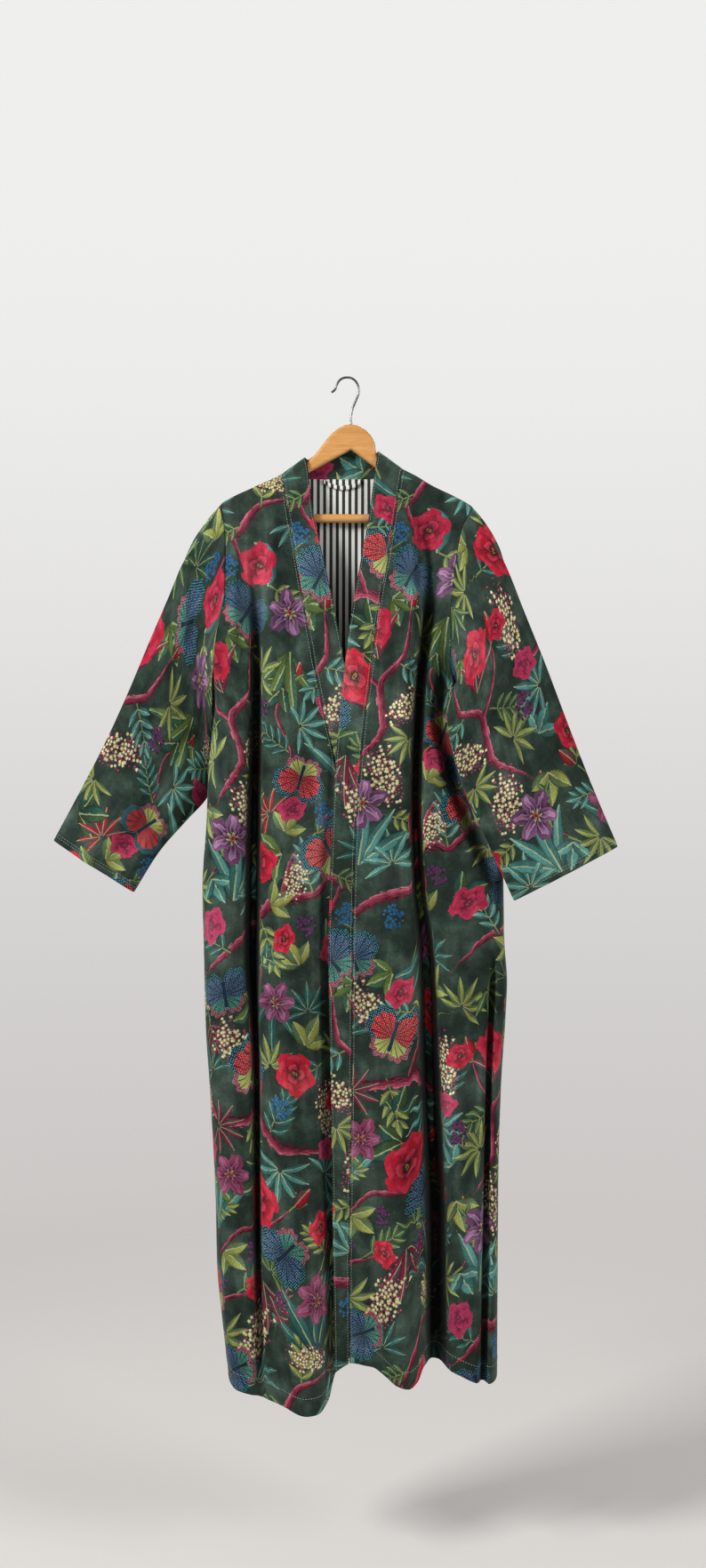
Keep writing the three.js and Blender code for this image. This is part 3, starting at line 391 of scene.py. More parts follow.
def edge_distances(grid, side):
    """How far each point is from one side of the grid, along the cloth."""
    axis = 0 if side in ("top", "bottom") else 1
    steps = np.linalg.norm(np.diff(grid, axis=axis), axis=2)
    if side in ("bottom", "last"):
        steps = np.flip(steps, axis)
    start = np.zeros((1, grid.shape[1]) if axis == 0 else (grid.shape[0], 1))
    distance = np.concatenate([start, np.cumsum(steps, axis)], axis)
    return np.flip(distance, axis) if side in ("bottom", "last") else distance


def normals_of(grid, outward, ring):
    if ring:
        across = np.roll(grid, -1, 1) - np.roll(grid, 1, 1)
    else:
        across = np.gradient(grid, axis=1)
    down = np.gradient(grid, axis=0)
    normal = np.cross(across, down) * outward
    return normal / np.maximum(np.linalg.norm(normal, axis=2, keepdims=True), 1e-9)


def cut_of(grid, place):
    """The flat pattern, in mm. place puts the distances across and down the cloth where they lie."""
    return place(edge_distances(grid, "first"), edge_distances(grid, "top"), grid)


def shell(name, grid, thickness, outward, cut, ring=False, free=(), sewn=(), flat_normal=None, groove=0.8,
          faced=None):
    rows, columns = grid.shape[:2]
    normal = normals_of(grid, outward, ring)
    if flat_normal is not None:
        normal = flat_normal(normal, grid)
        normal /= np.linalg.norm(normal, axis=2, keepdims=True)
    half = np.full((rows, columns), thickness / 2)
    sunk = np.zeros((rows, columns))
    for side in free:
        half *= np.maximum(0.12, quarter_round(edge_distances(grid, side), thickness / 2))
    for side in sewn:
        sunk += groove * np.exp(-((edge_distances(grid, side) / 2.4) ** 2))
    outer = grid - normal * (thickness / 2 - half + sunk)[..., None]
    inner = grid - normal * (thickness / 2 + half)[..., None]
    points = np.concatenate([outer.reshape(-1, 3), inner.reshape(-1, 3)])
    points[:, 2] += DATUM
    faces_seen[name] = outer + (0, 0, DATUM), normal

    last = columns if ring else columns - 1
    r, c = [a.ravel() for a in np.meshgrid(np.arange(rows - 1), np.arange(last), indexing="ij")]
    faces = [np.stack([np.stack([np.full_like(r, layer), r + dr, c + dc], 1) for layer, dr, dc in corners],
        1) for corners in (((0, 0, 0), (0, 0, 1), (0, 1, 1), (0, 1, 0)),
        ((1, 0, 0), (1, 1, 0), (1, 1, 1), (1, 0, 1)))]
    inside = [np.zeros(len(faces[0]), int), np.ones(len(faces[1]), int) if faced is None else 1 - faced(r, c)]
    k = np.arange(last)
    rims = [[(0, 0 * k, k), (1, 0 * k, k), (1, 0 * k, k + 1), (0, 0 * k, k + 1)],
        [(0, 0 * k + rows - 1, k), (0, 0 * k + rows - 1, k + 1), (1, 0 * k + rows - 1, k + 1),
        (1, 0 * k + rows - 1, k)]]
    if not ring:
        k = np.arange(rows - 1)
        rims += [[(0, k, 0 * k), (0, k + 1, 0 * k), (1, k + 1, 0 * k), (1, k, 0 * k)],
            [(0, k, 0 * k + last), (1, k, 0 * k + last), (1, k + 1, 0 * k + last), (0, k + 1, 0 * k + last)]]
    for rim in rims:
        faces.append(np.stack([np.stack([np.full_like(a, layer), a, b], 1) for layer, a, b in rim], 1))
        inside.append(np.zeros(len(faces[-1]), int))
    corners = np.concatenate(faces)
    inside = np.concatenate(inside)
    if outward < 0:
        corners = corners[:, ::-1]
    vertex = corners[..., 0] * rows * columns + corners[..., 1] * columns + corners[..., 2] % columns

    mesh = bpy.data.meshes.new(name)
    mesh.vertices.add(len(points))
    mesh.vertices.foreach_set("co", (points * MM).ravel())
    mesh.loops.add(vertex.size)
    mesh.loops.foreach_set("vertex_index", vertex.ravel())
    mesh.polygons.add(len(vertex))
    mesh.polygons.foreach_set("loop_start", np.arange(len(vertex)) * 4)
    mesh.polygons.foreach_set("material_index", inside)
    mesh.update(calc_edges=True)
    mesh.validate()
    mesh.polygons.foreach_set("use_smooth", np.ones(len(vertex), bool))
    pattern = cut[corners[..., 1], corners[..., 2]]
    uv = mesh.uv_layers.new(name="cut")
    uv.data.foreach_set("uv", (pattern * MM).astype(np.float32).ravel())
    piece = placed(name, mesh)
    area = np.linalg.norm(np.cross(grid[:-1, 1:] - grid[:-1, :-1], grid[1:, :-1] - grid[:-1, :-1]),
        axis=2).sum() * MM ** 2
    if ring:
        area += np.linalg.norm(np.cross(grid[:-1, 0] - grid[:-1, -1], grid[1:, -1] - grid[:-1, -1]),
            axis=1).sum() * MM ** 2
    spread = np.ptp(cut.reshape(-1, 2), axis=0) * MM
    print(f"{name}: {len(mesh.polygons) * 2} triangles, {area:.3f} m2 of cloth, "
          f"cut {spread[0]:.3f} x {spread[1]:.3f} m")
    return piece, pattern, inside, (area, spread)


def square_to_seam(normal, grid):
    """Over the shoulder, the end of the cloth stays square to the seam."""
    over = ridge_at(grid[..., 0]) - grid[..., 2] < 0.6
    normal[..., 1] = np.where(over, 0, normal[..., 1])
    return normal


# %% [markdown]
# ## Fronts
# Each front hangs from the shoulder seam, with the armhole and the side seam on one side and
# the neckband's seam on the other. Share u runs from the side to the band, share v from the
# shoulder to the underarm (0 to 1) and on to the hem (1 to 2).

# %% The two fronts
FINE = 4.6  # spacing of the cloth's points down it
ACROSS = 0.72  # and the share of that across it, where the folds turn
SIDE_SHARES = (0.0015, 0.006, 0.014)  # extra columns close to a side seam
TOP_SHARES = (0.0008, 0.004, 0.009, 0.016, 0.03)  # extra rows over the shoulder
FACED = 7  # inner columns beside a side seam that are velvet


def front_surface(hand):
    depth = underlap_depth if hand == "left" else front_depth
    inward = INWARD[hand]

    def surface(u, v):
        u, v = np.broadcast_arrays(u, v)
        top_x = mix(TIP[hand], NECK[hand] - inward * SEAM / 2, u)
        top = ridge_at(top_x)
        bottom = hem_front[hand](mix(*HEM[hand], u))
        z = np.where(v < 1, mix(top, UNDERARM[hand], v), mix(UNDERARM[hand], bottom, v - 1))

        def across(height):
            return mix(outline[hand, "front"](height), seam_line[hand](height) - inward * SEAM / 2, u)

        settle = (top_x - across(top)) * (1 - smooth(0, 80, top - z))
        x = across(z) + settle
        return np.stack([x, depth(x, z) - SEAM / 2, z], -1)

    return surface


def grid_of(surface, close_u=(False, False), close_v=(False, False), step=FINE):
    u = spaced(surface, 0, (0, 1), step * ACROSS, close_u)
    v = spaced(surface, 1, (0, 2), step, close_v)
    v = np.sort(np.concatenate([v, TOP_SHARES]))
    u = np.sort(np.concatenate([u, SIDE_SHARES]))
    return surface(u[None, :], v[:, None]), u, v


def front_cut(hand):
    def place(across, down, grid):
        return np.stack([grid[:, -1:, 0] + INWARD[hand] * (across - across[:, -1:]), grid[:1, :, 2] - down],
            -1)

    return place


cloth = {}
for hand in ("left", "right"):
    name = "front_" + hand
    grid, *_ = grid_of(front_surface(hand), close_v=(False, True))
    cloth[name] = shell(name + "_cloth", grid, VELVET, -INWARD[hand], cut_of(grid, front_cut(hand)),
        free=("bottom",), sewn=("last", "top"), flat_normal=square_to_seam, faced=lambda r, c: c < FACED)

# %% [markdown]
# ## Back and its lining
# The back is one piece on the fold, closed to the fronts at the sides. Its striped cotton
# lining is a second, thinner shell just inside it, and shows through the open neck.

# %% Back
def back_top(x):
    return np.where((x < NECKLINE[0]) | (x > NECKLINE[1]), ridge_at(x),
        np.minimum(ridge_at(x), back_neckline(x)))


def back_surface(offset=0.0, small=1.0):
    def surface(u, v):
        u, v = np.broadcast_arrays(u, v)
        underarm = mix(UNDERARM["left"], UNDERARM["right"], u)
        top = back_top(mix(TIP["left"], TIP["right"], u))
        bottom = hem_back(mix(HEM["left"][0], HEM["right"][0], u))
        z = np.where(v < 1, mix(top, underarm, v), mix(underarm, bottom, v - 1))
        x = mix(outline["left", "back"](z), outline["right", "back"](z), u)
        return np.stack([x, back_depth(x, z, small) + SEAM / 2 - offset, z], -1)

    return surface


def middle_cut(across, down, grid):
    middle = grid.shape[1] // 2
    return np.stack([across - across[:, middle:middle + 1] + grid[:, middle:middle + 1, 0],
        grid[:1, :, 2] - down], -1)


grid, back_u, back_v = grid_of(back_surface(), close_v=(False, True))
extra_u = np.sort(np.concatenate([back_u, 1 - np.array(SIDE_SHARES)]))
grid = back_surface()(extra_u[None, :], back_v[:, None])
cloth["back"] = shell("back_cloth", grid, VELVET, 1, cut_of(grid, middle_cut), free=("bottom",),
    sewn=("top",), flat_normal=square_to_seam, faced=lambda r,
    c: (c < FACED) | (c > len(extra_u) - FACED - 2))

# %% Back lining
LINING_SPACE = 0.9
LINING_ENDS = (0.148, 0.852)  # shares across the back
LINING_SHORTER = 34


def lining_surface(u, v):
    u, v = np.broadcast_arrays(u, v)
    u = mix(*LINING_ENDS, u)
    top_x = mix(TIP["left"], TIP["right"], u)
    top = np.minimum(back_top(top_x) - 2, ridge_at(top_x) - 17)
    underarm = mix(UNDERARM["left"], UNDERARM["right"], u)
    bottom = hem_back(mix(HEM["left"][0], HEM["right"][0], u)) + LINING_SHORTER
    z = np.where(v < 1, mix(top, underarm, v), mix(underarm, bottom, v - 1))
    x = mix(outline["left", "back"](z), outline["right", "back"](z), u)
    return np.stack([x, back_depth(x, z) + SEAM / 2 - VELVET - LINING_SPACE, z], -1)


grid = lining_surface(spaced(lining_surface, 0, (0, 1), FINE)[None, :],
    spaced(lining_surface, 1, (0, 2), FINE)[:, None])
cloth["back_lining"] = shell("back_lining_cloth", grid, LINING, 1, cut_of(grid, middle_cut),
    free=("top", "bottom"))

# %% [markdown]
# ## Neckband
# The band is a strip folded double, a little thicker than the rest and softly padded by its
# own seam allowances. It puckers slightly where it is sewn round the curve of the neck.

# %% Neckband pieces
def band_grid(hand, depth, first):
    table = np.array(band_rows[hand], float)
    seam_steps = np.linalg.norm(np.diff((table[:, :2] + table[:, 2:]) / 2, axis=0), axis=1)
    length = np.concatenate([[0], np.cumsum(seam_steps)])
    rows = curve_of(length, table)(np.arange(0, length[-1], FINE).tolist() + [length[-1]])
    shares = np.concatenate([[0, 0.02, 0.05], np.linspace(0.1, 0.9, 9), [0.95, 0.975, 0.992, 1]])
    x = mix(rows[:, 0:1], rows[:, 2:3], mix(first, 1, shares))
    z = mix(rows[:, 1:2], rows[:, 3:4], mix(first, 1, shares))
    along = np.linspace(0, length[-1], len(rows))[:, None]
    pucker = (np.sin(along / 5.1) + np.sin(along / 8.3 + 2) + np.sin(along / 3.4 + 1)) / 3
    puff = 0.9 * (4 * shares * (1 - shares)) ** 0.5 + 0.55 * pucker * np.exp(-((shares - 0.12) / 0.12) ** 2)
    puff = puff + 0.8 * unevenness(x * 1.7 + 40, z * 1.9) * (4 * shares * (1 - shares))
    y = depth(x, z) + (puff if hand == "back" else -puff) * smooth(0, 12, ridge_at(x) - z + 4)
    return np.stack([x, y, z], -1)


def band_cut(across, down, grid):
    return np.stack([across, down.mean(1, keepdims=True) + 0 * across], -1)


for hand, depth, first, outward, free in (
        ("left", underlap_depth, 0.006, 1, ("last", "top")),
        ("right", front_depth, 0.006, -1, ("last", "top")),
        ("back", lambda x, z: back_depth(x, z, 0) + 0.4, -0.035, 1, ("last",))):
    grid = band_grid(hand, depth, first)
    cloth["band_" + hand] = shell(f"band_{hand}_cloth", grid, BAND, outward, cut_of(grid, band_cut),
        free=free, sewn=("first",), flat_normal=square_to_seam)

# %% [markdown]
# ## Sleeves
# A kimono sleeve is a wide flat tube. It starts at the armhole, a long upright slot, and its
# rings swing outwards towards the cuff. The right sleeve hangs in front of the body and the
# left one beside it. A ring is a row of the table: its outer and inner end, the depth of its
# middle at both ends, and half its thickness.

# %% Sleeve tables: out x, out z, in x, in z, out y, in y, half
sleeve_rings = {"left": [(-243, -267, -193, -528, -1, 24, 18), (-263, -315, -193, -553, -2, 27, 18),
    (-292, -383, -196, -582, -4, 28, 18), (-323, -458, -208, -612, -6, 24, 18),
    (-357, -533, -240, -649, -8, 12, 18), (-393, -603, -277, -692, -9, 4, 17),
    (-432, -676, -315, -753, -10, 0, 16)], "right": [(233, -267, 144, -480, -6, -54, 19),
    (260, -336, 146, -510, -12, -57, 18), (291, -416, 154, -551, -20, -60, 18),
    (319, -493, 173, -609, -27, -60, 18), (356, -590, 203, -677, -32, -57, 17),
    (395, -684, 242, -762, -36, -52, 16)]}
sleeve_roots = {  # share of the way to the first ring, then where its inner end passes the body: x, y, z
    "left": [(0.3, -191, 11, -481), (0.65, -191, 20, -502)],
    "right": [(0.16, 192, -9, -489), (0.32, 187, -28, -490), (0.5, 174, -40, -489), (0.75, 157, -48, -484)],
}
sleeve_long_creases = {  # share across, out, wide, from ring, to ring
    "left": [(0.42, 4, 0.12, 1, 7), (0.72, -4, 0.1, 1, 5)],
    "right": [(0.62, 4, 0.12, 1, 6), (0.3, -3, 0.1, 1, 4)],
}
SLEEVE_FLATNESS, SLEEVE_CLEAR, SLEEVE_BELLY, SLEEVE_HOLLOW = 0.38, 2.6, 7, 7
SLEEVE_WIDE, SLEEVE_LONG = 270, 470.0  # about the size of one flat side, for its creases
UNDER_FROM = 0.72  # from this share down a ring, it makes way for the body
AROUND = 78  # points down each side of a sleeve
TUCK = 3.0  # how far the sleeve's seam goes under the edge of front and back, near the underarm
FACING = 150  # the sleeve's seam is faced with velvet for this far inside


def sleeve_grid(hand):
    out_way = -INWARD[hand]
    tip_z = ridge_at(np.array(TIP[hand], float))
    down = 0.5 - 0.5 * np.cos(math.pi * np.linspace(0, 1, AROUND))
    t = np.concatenate([down, down[1:-1][::-1]])
    side = np.concatenate([-np.ones(AROUND), np.ones(AROUND - 2)])
    z = mix(tip_z, UNDERARM[hand], t)
    x = np.where(side < 0, outline[hand, "front"](z), outline[hand, "back"](z))
    y = np.where(side < 0, front_depth(x, z), back_depth(x, z))
    tuck = rolled(hand, z)
    start = np.stack([x + out_way * mix(SEAM, -TUCK, tuck), y - side * 1.2 * tuck, z], -1)
    free = []
    for number, (out_x, out_z, in_x, in_z, out_y, in_y, half) in enumerate(sleeve_rings[hand]):
        crease = 0
        for at, out, wide, first, last in sleeve_long_creases[hand]:
            strength = smooth(first - 1, first + 1, number) * (1 - smooth(last, last + 2, number))
            crease = crease + out * strength * np.exp(-(((t - at) / wide) ** 2))
        thick = half * (4 * t * (1 - t)) ** SLEEVE_FLATNESS + crease
        free.append(np.stack([mix(out_x, in_x, t), mix(out_y, in_y, t) + side * thick, mix(out_z, in_z, t)],
            -1))
    under = AROUND - 1
    later = []
    for share, in_x, in_y, in_z in sleeve_roots[hand]:
        ring = mix(start, free[0], share)
        ring[:, 0] += np.where(side > 0, out_way * 4 * SLEEVE_BELLY * share * (1 - share), 0)
        pull = np.array([in_x, in_y, in_z]) - ring[under]
        later.append(ring + pull * smooth(UNDER_FROM, 1, t)[:, None])
    later += free
    for ring in later:
        x, z = ring[:, 0], ring[:, 2]
        inside = x - outline["left", "back"](z) if hand == "left" else outline["right", "front"](z) - x
        hollow = np.where(side > 0 if hand == "left" else side < 0, SLEEVE_HOLLOW, 0)
        probe = x - out_way * SLEEVE_CLEAR
        if hand == "left":
            clear = np.maximum(ring[:, 1], back_depth(probe, z) + SLEEVE_CLEAR + hollow)
        else:
            clear = np.minimum(ring[:, 1], front_depth(probe, z) - SLEEVE_CLEAR - hollow)
        ring[:, 1] = np.where(inside < -SLEEVE_CLEAR, ring[:, 1],
            mix(ring[:, 1], clear, smooth(UNDER_FROM, 0.88, t)))
    rings = np.array([start] + later)
    steps = np.linalg.norm(np.diff(rings, axis=0), axis=2).mean(1)
    length = np.concatenate([[0], np.cumsum(steps)])
    fine = np.sort(np.concatenate([np.arange(0, length[-1], FINE),
        [length[-1], length[-1] - 0.3, length[-1] - 1.1]]))
    return curve_of(length, rings)(fine), t, side, fine / length[-1]


# %% Sleeve creases: face, from share across and along, to share across and along, out, wide (mm)
sleeve_creases = {"left": [(-1, 0.95, 0.18, 0.45, 0.5, 3.0, 12), (-1, 0.85, 0.1, 0.3, 0.34, -2.4, 10),
    (-1, 0.18, 0.25, 0.3, 0.8, 2.4, 12), (-1, 0.6, 0.45, 0.66, 0.95, -2.6, 11),
    (-1, 0.86, 0.45, 0.84, 0.92, 2.4, 12), (-1, 0.35, 0.05, 0.2, 0.45, 2.0, 10),
    (1, 0.9, 0.2, 0.4, 0.5, 3.0, 13), (1, 0.3, 0.2, 0.4, 0.8, -2.6, 12), (1, 0.65, 0.45, 0.7, 0.95, 2.6, 12)],
    "right": [(-1, 0.92, 0.22, 0.45, 0.48, 3.0, 12), (-1, 0.7, 0.08, 0.3, 0.3, -2.6, 10),
    (-1, 0.2, 0.2, 0.28, 0.75, 2.4, 12), (-1, 0.45, 0.5, 0.42, 0.95, -2.6, 11),
    (-1, 0.8, 0.5, 0.78, 0.95, 2.4, 12), (-1, 0.5, 0.1, 0.36, 0.4, 1.8, 9), (1, 0.85, 0.2, 0.4, 0.5, 3.0, 13),
    (1, 0.3, 0.2, 0.35, 0.8, -2.6, 12), (1, 0.6, 0.45, 0.66, 0.95, 2.6, 12)]}


def sleeve_cut(across, down, grid):
    return np.stack([across - across[:, -1:] / 4, -down.mean(1, keepdims=True) + 0 * across], -1)


for hand in ("left", "right"):
    grid, t, side, along = sleeve_grid(hand)
    normal = normals_of(grid, -INWARD[hand], True)
    small = 0
    for face, t0, s0, t1, s1, out, wide in sleeve_creases[hand]:
        reach = np.array([(t1 - t0) * SLEEVE_WIDE, (s1 - s0) * SLEEVE_LONG])
        size = np.linalg.norm(reach)
        px, ps = (t[None, :] - t0) * SLEEVE_WIDE, (along[:, None] - s0) * SLEEVE_LONG
        share = (px * reach[0] + ps * reach[1]) / size**2
        off = (px * reach[1] - ps * reach[0]) / size
        inside = np.clip(share, 0, 1)
        small = small + np.where((side[None, :] == face) & (share > 0) & (share < 1),
                                 CREASE * out * np.exp(-((off / wide) ** 2)) * np.sin(math.pi * inside), 0)
    small = small + CREASE * unevenness(t[None, :] * 260 + 30 * side[None, :], along[:, None] * SLEEVE_LONG)
    small = small * (4 * t * (1 - t))[None, :] ** 0.7 * smooth(0.0, 0.14, along)[:, None]
    grid = grid + normal * small[..., None]
    closed = np.concatenate([grid, grid[:, :1]], 1)

    def root_square(normal, grid):
        normal[0, :, 0] = 0
        return normal

    cloth["sleeve_" + hand] = shell(f"sleeve_{hand}_cloth", grid, VELVET, -INWARD[hand],
        cut_of(closed, sleeve_cut), ring=True, free=("bottom",), sewn=("top",), flat_normal=root_square,
        faced=lambda r, c: r < FACING / FINE)

# %% [markdown]
# ## Hanging loop
# A short strip of the lining's cotton, caught in the neck seam at both ends.

# %% Hanging loop
LOOP_GAP = 0.56
loop_line = curve_through([(-34, -144), (-24, -150), (-6, -154), (10, -151), (21, -144)])
loop_x = np.linspace(-34, 21, 40)
loop_z = loop_line(loop_x)
loop_y = back_depth(loop_x, loop_z) - VELVET - LINING_SPACE - LINING - LOOP_GAP
across = np.linspace(-0.5, 0.5, 7)
bulge = 0.5 * (1 - (2 * across) ** 2)
grid = np.stack([loop_x[:, None] + 0 * across, loop_y[:, None] - bulge, loop_z[:, None] - across * 6],
    -1).transpose(1, 0, 2)
cloth["hanging_loop"] = shell("hanging_loop_cloth", grid, 2.0, 1, cut_of(grid, band_cut),
    free=("top", "bottom"))

# %% [markdown]
# ## Hanger
# The hanger is sawn from a board and its edges are rounded with a router. A flat curve with a
# bevel is that board: its outline is filled, given its thickness, and its edges rounded over.

# %% Wooden arms
WOOD, ROUND = 11.0, 4.5
ARM_CLEAR = VELVET + 1.3


def under_cloth(*xs):
    return [(x, DATUM + float(ridge_at(np.array(float(x)))) - ARM_CLEAR) for x in xs]


arms_outline = under_cloth(-184, -172, -160, -148, -136, -124, -112, -104) + [(-94, -148), (-80, -141),
    (-66, -130), (-56, -121), (-47, -112), (-39, -102), (-31, -91), (-22, -81), (-12, -73.5), (-3, -69),
    (6, -67.5), (17, -70), (28, -76), (37, -86), (42, -96), (43, -106), (46, -116), (52, -121), (60, -128),
    (70, -138), (78, -145), (92, -147)] + under_cloth(104, 115, 126, 143, 160, 172, 184) + [(190, -202),
    (190, -219), (184, -226), (172, -226), (168, -220), (168, -202), (150, -196), (100, -170), (62, -147),
    (6, -106), (-54, -138), (-100, -164), (-146, -189), (-164, -197), (-164, -212), (-168, -218),
    (-182, -217), (-188, -210), (-188, -194)]


def mesh_piece(source, name):
    """Turns a curve object, or an object with modifiers, into a plain mesh piece."""
    bpy.context.view_layer.update()
    graph = bpy.context.evaluated_depsgraph_get()
    mesh = bpy.data.meshes.new_from_object(source.evaluated_get(graph))
    mesh.transform(source.matrix_world)
    mesh.name = name
    piece = placed(name, mesh)
    bpy.data.objects.remove(source)
    return piece


def curve_object(name, kind, line, **settings):
    """A curve through points in metres. settings are its properties, such as the bevel."""
    data = bpy.data.curves.new(name, "CURVE")
    for key, value in settings.items():
        setattr(data, key, value)
    spline = data.splines.new(kind)
    points = spline.points if kind == "POLY" else spline.bezier_points
    points.add(len(line) - 1)
    for point, place in zip(points, line):
        if kind == "POLY":
            point.co = (*place, 1)
        else:
            point.co = place
            point.handle_left_type = point.handle_right_type = "AUTO"
    return placed(name, data)


board = curve_object("board", "POLY", [(x * MM, z * MM, 0) for x, z in arms_outline], dimensions="2D",
    fill_mode="BOTH", offset=-ROUND * MM, extrude=(WOOD / 2 - ROUND) * MM, bevel_depth=ROUND * MM,
    bevel_resolution=4)
board.data.splines[0].use_cyclic_u = True
board.rotation_euler = (math.radians(90), 0, 0)
hanger_wood = mesh_piece(board, "hanger_arms")
print("hanger arms:", len(hanger_wood.data.polygons), "faces")

# %% Hook
hook_line = [(6.5, -74), (6.5, -54), (8.5, -44), (13.5, -32), (17.5, -20), (16, -9), (9, -0.5), (0, 1.7),
    (-9, -1), (-14.5, -8), (-17.5, -16), (-22.5, -20.5)]
WIRE = 3.4
wire = curve_object("wire", "BEZIER", [(x * MM, 0, z * MM) for x, z in hook_line], dimensions="3D",
                    bevel_depth=WIRE / 2 * MM, bevel_resolution=6, resolution_u=10, use_fill_caps=True)
hanger_hook = mesh_piece(wire, "hanger_hook_wire")
print("hook:", len(hanger_hook.data.polygons), "faces")

# %% Trouser bar
SLIM = 0.86  # the dowel is this much thinner than the box of its solid
low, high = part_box("hanger_bar")
line = [(mix(low[0], high[0], k / 8), (low[1] + high[1]) / 2, (low[2] + high[2]) / 2) for k in range(9)]
dowel = curve_object("dowel", "POLY", line, dimensions="3D", bevel_depth=(high[2] - low[2]) / 2 * SLIM,
                     bevel_resolution=6, use_fill_caps=True)
hanger_bar = mesh_piece(dowel, "hanger_dowel")
print("bar:", round((high[0] - low[0]) * 1000), "mm long,", round((high[2] - low[2]) * 1000, 1), "mm thick")

# %% [markdown]
# ## Materials
# One function adds a node of any kind, with its properties and inputs. Colours are written as
# the hex values of a paint chart and turned to linear light by one function.

# %% Material helpers
MATH, VECTOR_MATH, MIX, REMAP = ("ShaderNodeMath", "ShaderNodeVectorMath", "ShaderNodeMix",
    "ShaderNodeMapRange")
NOISE, SPLIT, GROUP = "ShaderNodeTexNoise", "ShaderNodeSeparateXYZ", "ShaderNodeGroup"


def hex_colour(text):
    channels = [int(text[i:i + 2], 16) / 255 for i in (1, 3, 5)]
    return tuple(c / 12.92 if c <= 0.04045 else ((c + 0.055) / 1.055) ** 2.4 for c in channels) + (1.0,)


def add_node(tree, kind, inputs=(), **settings):
    """A node with its properties set. inputs are values or sockets, in the order shown or by name."""
    node = tree.nodes.new(kind)
    for key, value in settings.items():
        setattr(node, key, value)
    if not isinstance(inputs, dict):
        inputs = dict(zip([i for i, socket in enumerate(node.inputs) if socket.enabled], inputs))
    for key, value in inputs.items():
        if isinstance(value, bpy.types.Node):
            value = next(output for output in value.outputs if output.enabled)
        if isinstance(value, bpy.types.NodeSocket):
            tree.links.new(value, node.inputs[key])
        else:
            node.inputs[key].default_value = value
    return node


def set_ramp(node, *stops):
    """Gives a colour ramp its stops: positions and colours."""
    elements = node.color_ramp.elements
    while len(elements) < len(stops):
        elements.new(1.0)
    for i, (position, colour) in enumerate(stops):
        elements[i].position, elements[i].color = position, hex_colour(colour)


def new_material(name):
    material = bpy.data.materials.new(name)
    material.use_nodes = True
    tree = material.node_tree
    tree.nodes.clear()
    output = tree.nodes.new("ShaderNodeOutputMaterial")
    surface = tree.nodes.new("ShaderNodeBsdfPrincipled")
    tree.links.new(surface.outputs[0], output.inputs["Surface"])
    return material, tree, surface


# %% [markdown]
# ## Topstitching
# Lines of small stitches hold the turned edges: two rows above each cuff, one above the hem,
# and one down each side of the neckband. A line is found on the finished cloth at its
# distance from an edge. Geometry Nodes then lay stitches along it: an edge becomes a curve,
# the curve becomes evenly spaced points, and each point gets one short thread. Real thread is
# 0.3 mm thick; it is drawn at 0.7 mm, so that the rows show at all.

# %% Stitch lines
LIFT = 0.4  # how far the thread's middle lies above the cloth


def line_on(name, side, distance):
    """The line on a piece's outer face that runs a given distance inside one of its edges."""
    outer, normal = faces_seen[name + "_cloth"]
    away = edge_distances(outer, side)
    raised = outer + normal * LIFT
    if side in ("top", "bottom"):
        away, raised = away.T, raised.transpose(1, 0, 2)
    if side in ("bottom", "last"):
        away, raised = away[:, ::-1], raised[:, ::-1]
    return np.array([[np.interp(distance, row, points[:, k]) for k in range(3)] for row,
        points in zip(away, raised)])


stitch_lines = [(line_on("sleeve_" + hand, "bottom", far), True) for hand in ("left",
    "right") for far in (8.0, 12.0)]
stitch_lines += [(line_on(name, "bottom", 25.0), False) for name in ("front_left", "front_right", "back")]
stitch_lines += [(line_on("band_" + hand, side, far), False) for hand in ("left", "right") for side,
    far in (("first", 3.0), ("last", 3.5))]
stitch_lines += [(line_on("front_" + hand, "last", 2.6), False) for hand in ("left", "right")]
points, edges = [], []
for line, closed in stitch_lines:
    first, count = len(points), len(line)
    points += [tuple(p) for p in line * MM]
    edges += [(first + k, first + k + 1) for k in range(count - 1)] + ([(first + count - 1,
        first)] if closed else [])
seams = bpy.data.meshes.new("stitch_lines")
seams.from_pydata(points, edges, [])
print("stitch lines:", len(stitch_lines))

# %% Thread
thread_material = bpy.data.materials.new("spun_polyester_thread")

# %% Stitch tree
PITCH = 0.0042
stitch_tree = bpy.data.node_groups.new("row_of_stitches", "GeometryNodeTree")
for label, kind, value in (("Geometry", "NodeSocketGeometry", None),
                           ("Stitch Pitch", "NodeSocketFloat", PITCH),
                           ("Stitch Length", "NodeSocketFloat", 0.0031),
                           ("Thread", "NodeSocketFloat", 0.0007), ("Seed", "NodeSocketInt", 4)):
    socket = stitch_tree.interface.new_socket(label, in_out="INPUT", socket_type=kind)
    if value is not None:
        socket.default_value = value
stitch_tree.interface.new_socket("Geometry", in_out="OUTPUT", socket_type="NodeSocketGeometry")
given, result = stitch_tree.nodes.new("NodeGroupInput").outputs, stitch_tree.nodes.new("NodeGroupOutput")
path = add_node(stitch_tree, "GeometryNodeMeshToCurve", {"Mesh": given["Geometry"]})
spots = add_node(stitch_tree, "GeometryNodeCurveToPoints", {"Curve": path, "Length": given["Stitch Pitch"]},
    mode="LENGTH")
bead = add_node(stitch_tree, "GeometryNodeMeshUVSphere", {"Segments": 6, "Rings": 4, "Radius": 0.5})
uneven = add_node(stitch_tree, "FunctionNodeRandomValue", {"Min": (0.85, 0.85, 0.88), "Max": (1.1, 1.1, 1.08),
    "Seed": given["Seed"]}, data_type="FLOAT_VECTOR")
size = add_node(stitch_tree, "ShaderNodeCombineXYZ", [given["Thread"], given["Thread"],
    given["Stitch Length"]])
scaled = add_node(stitch_tree, VECTOR_MATH, [size, uneven], operation="MULTIPLY")
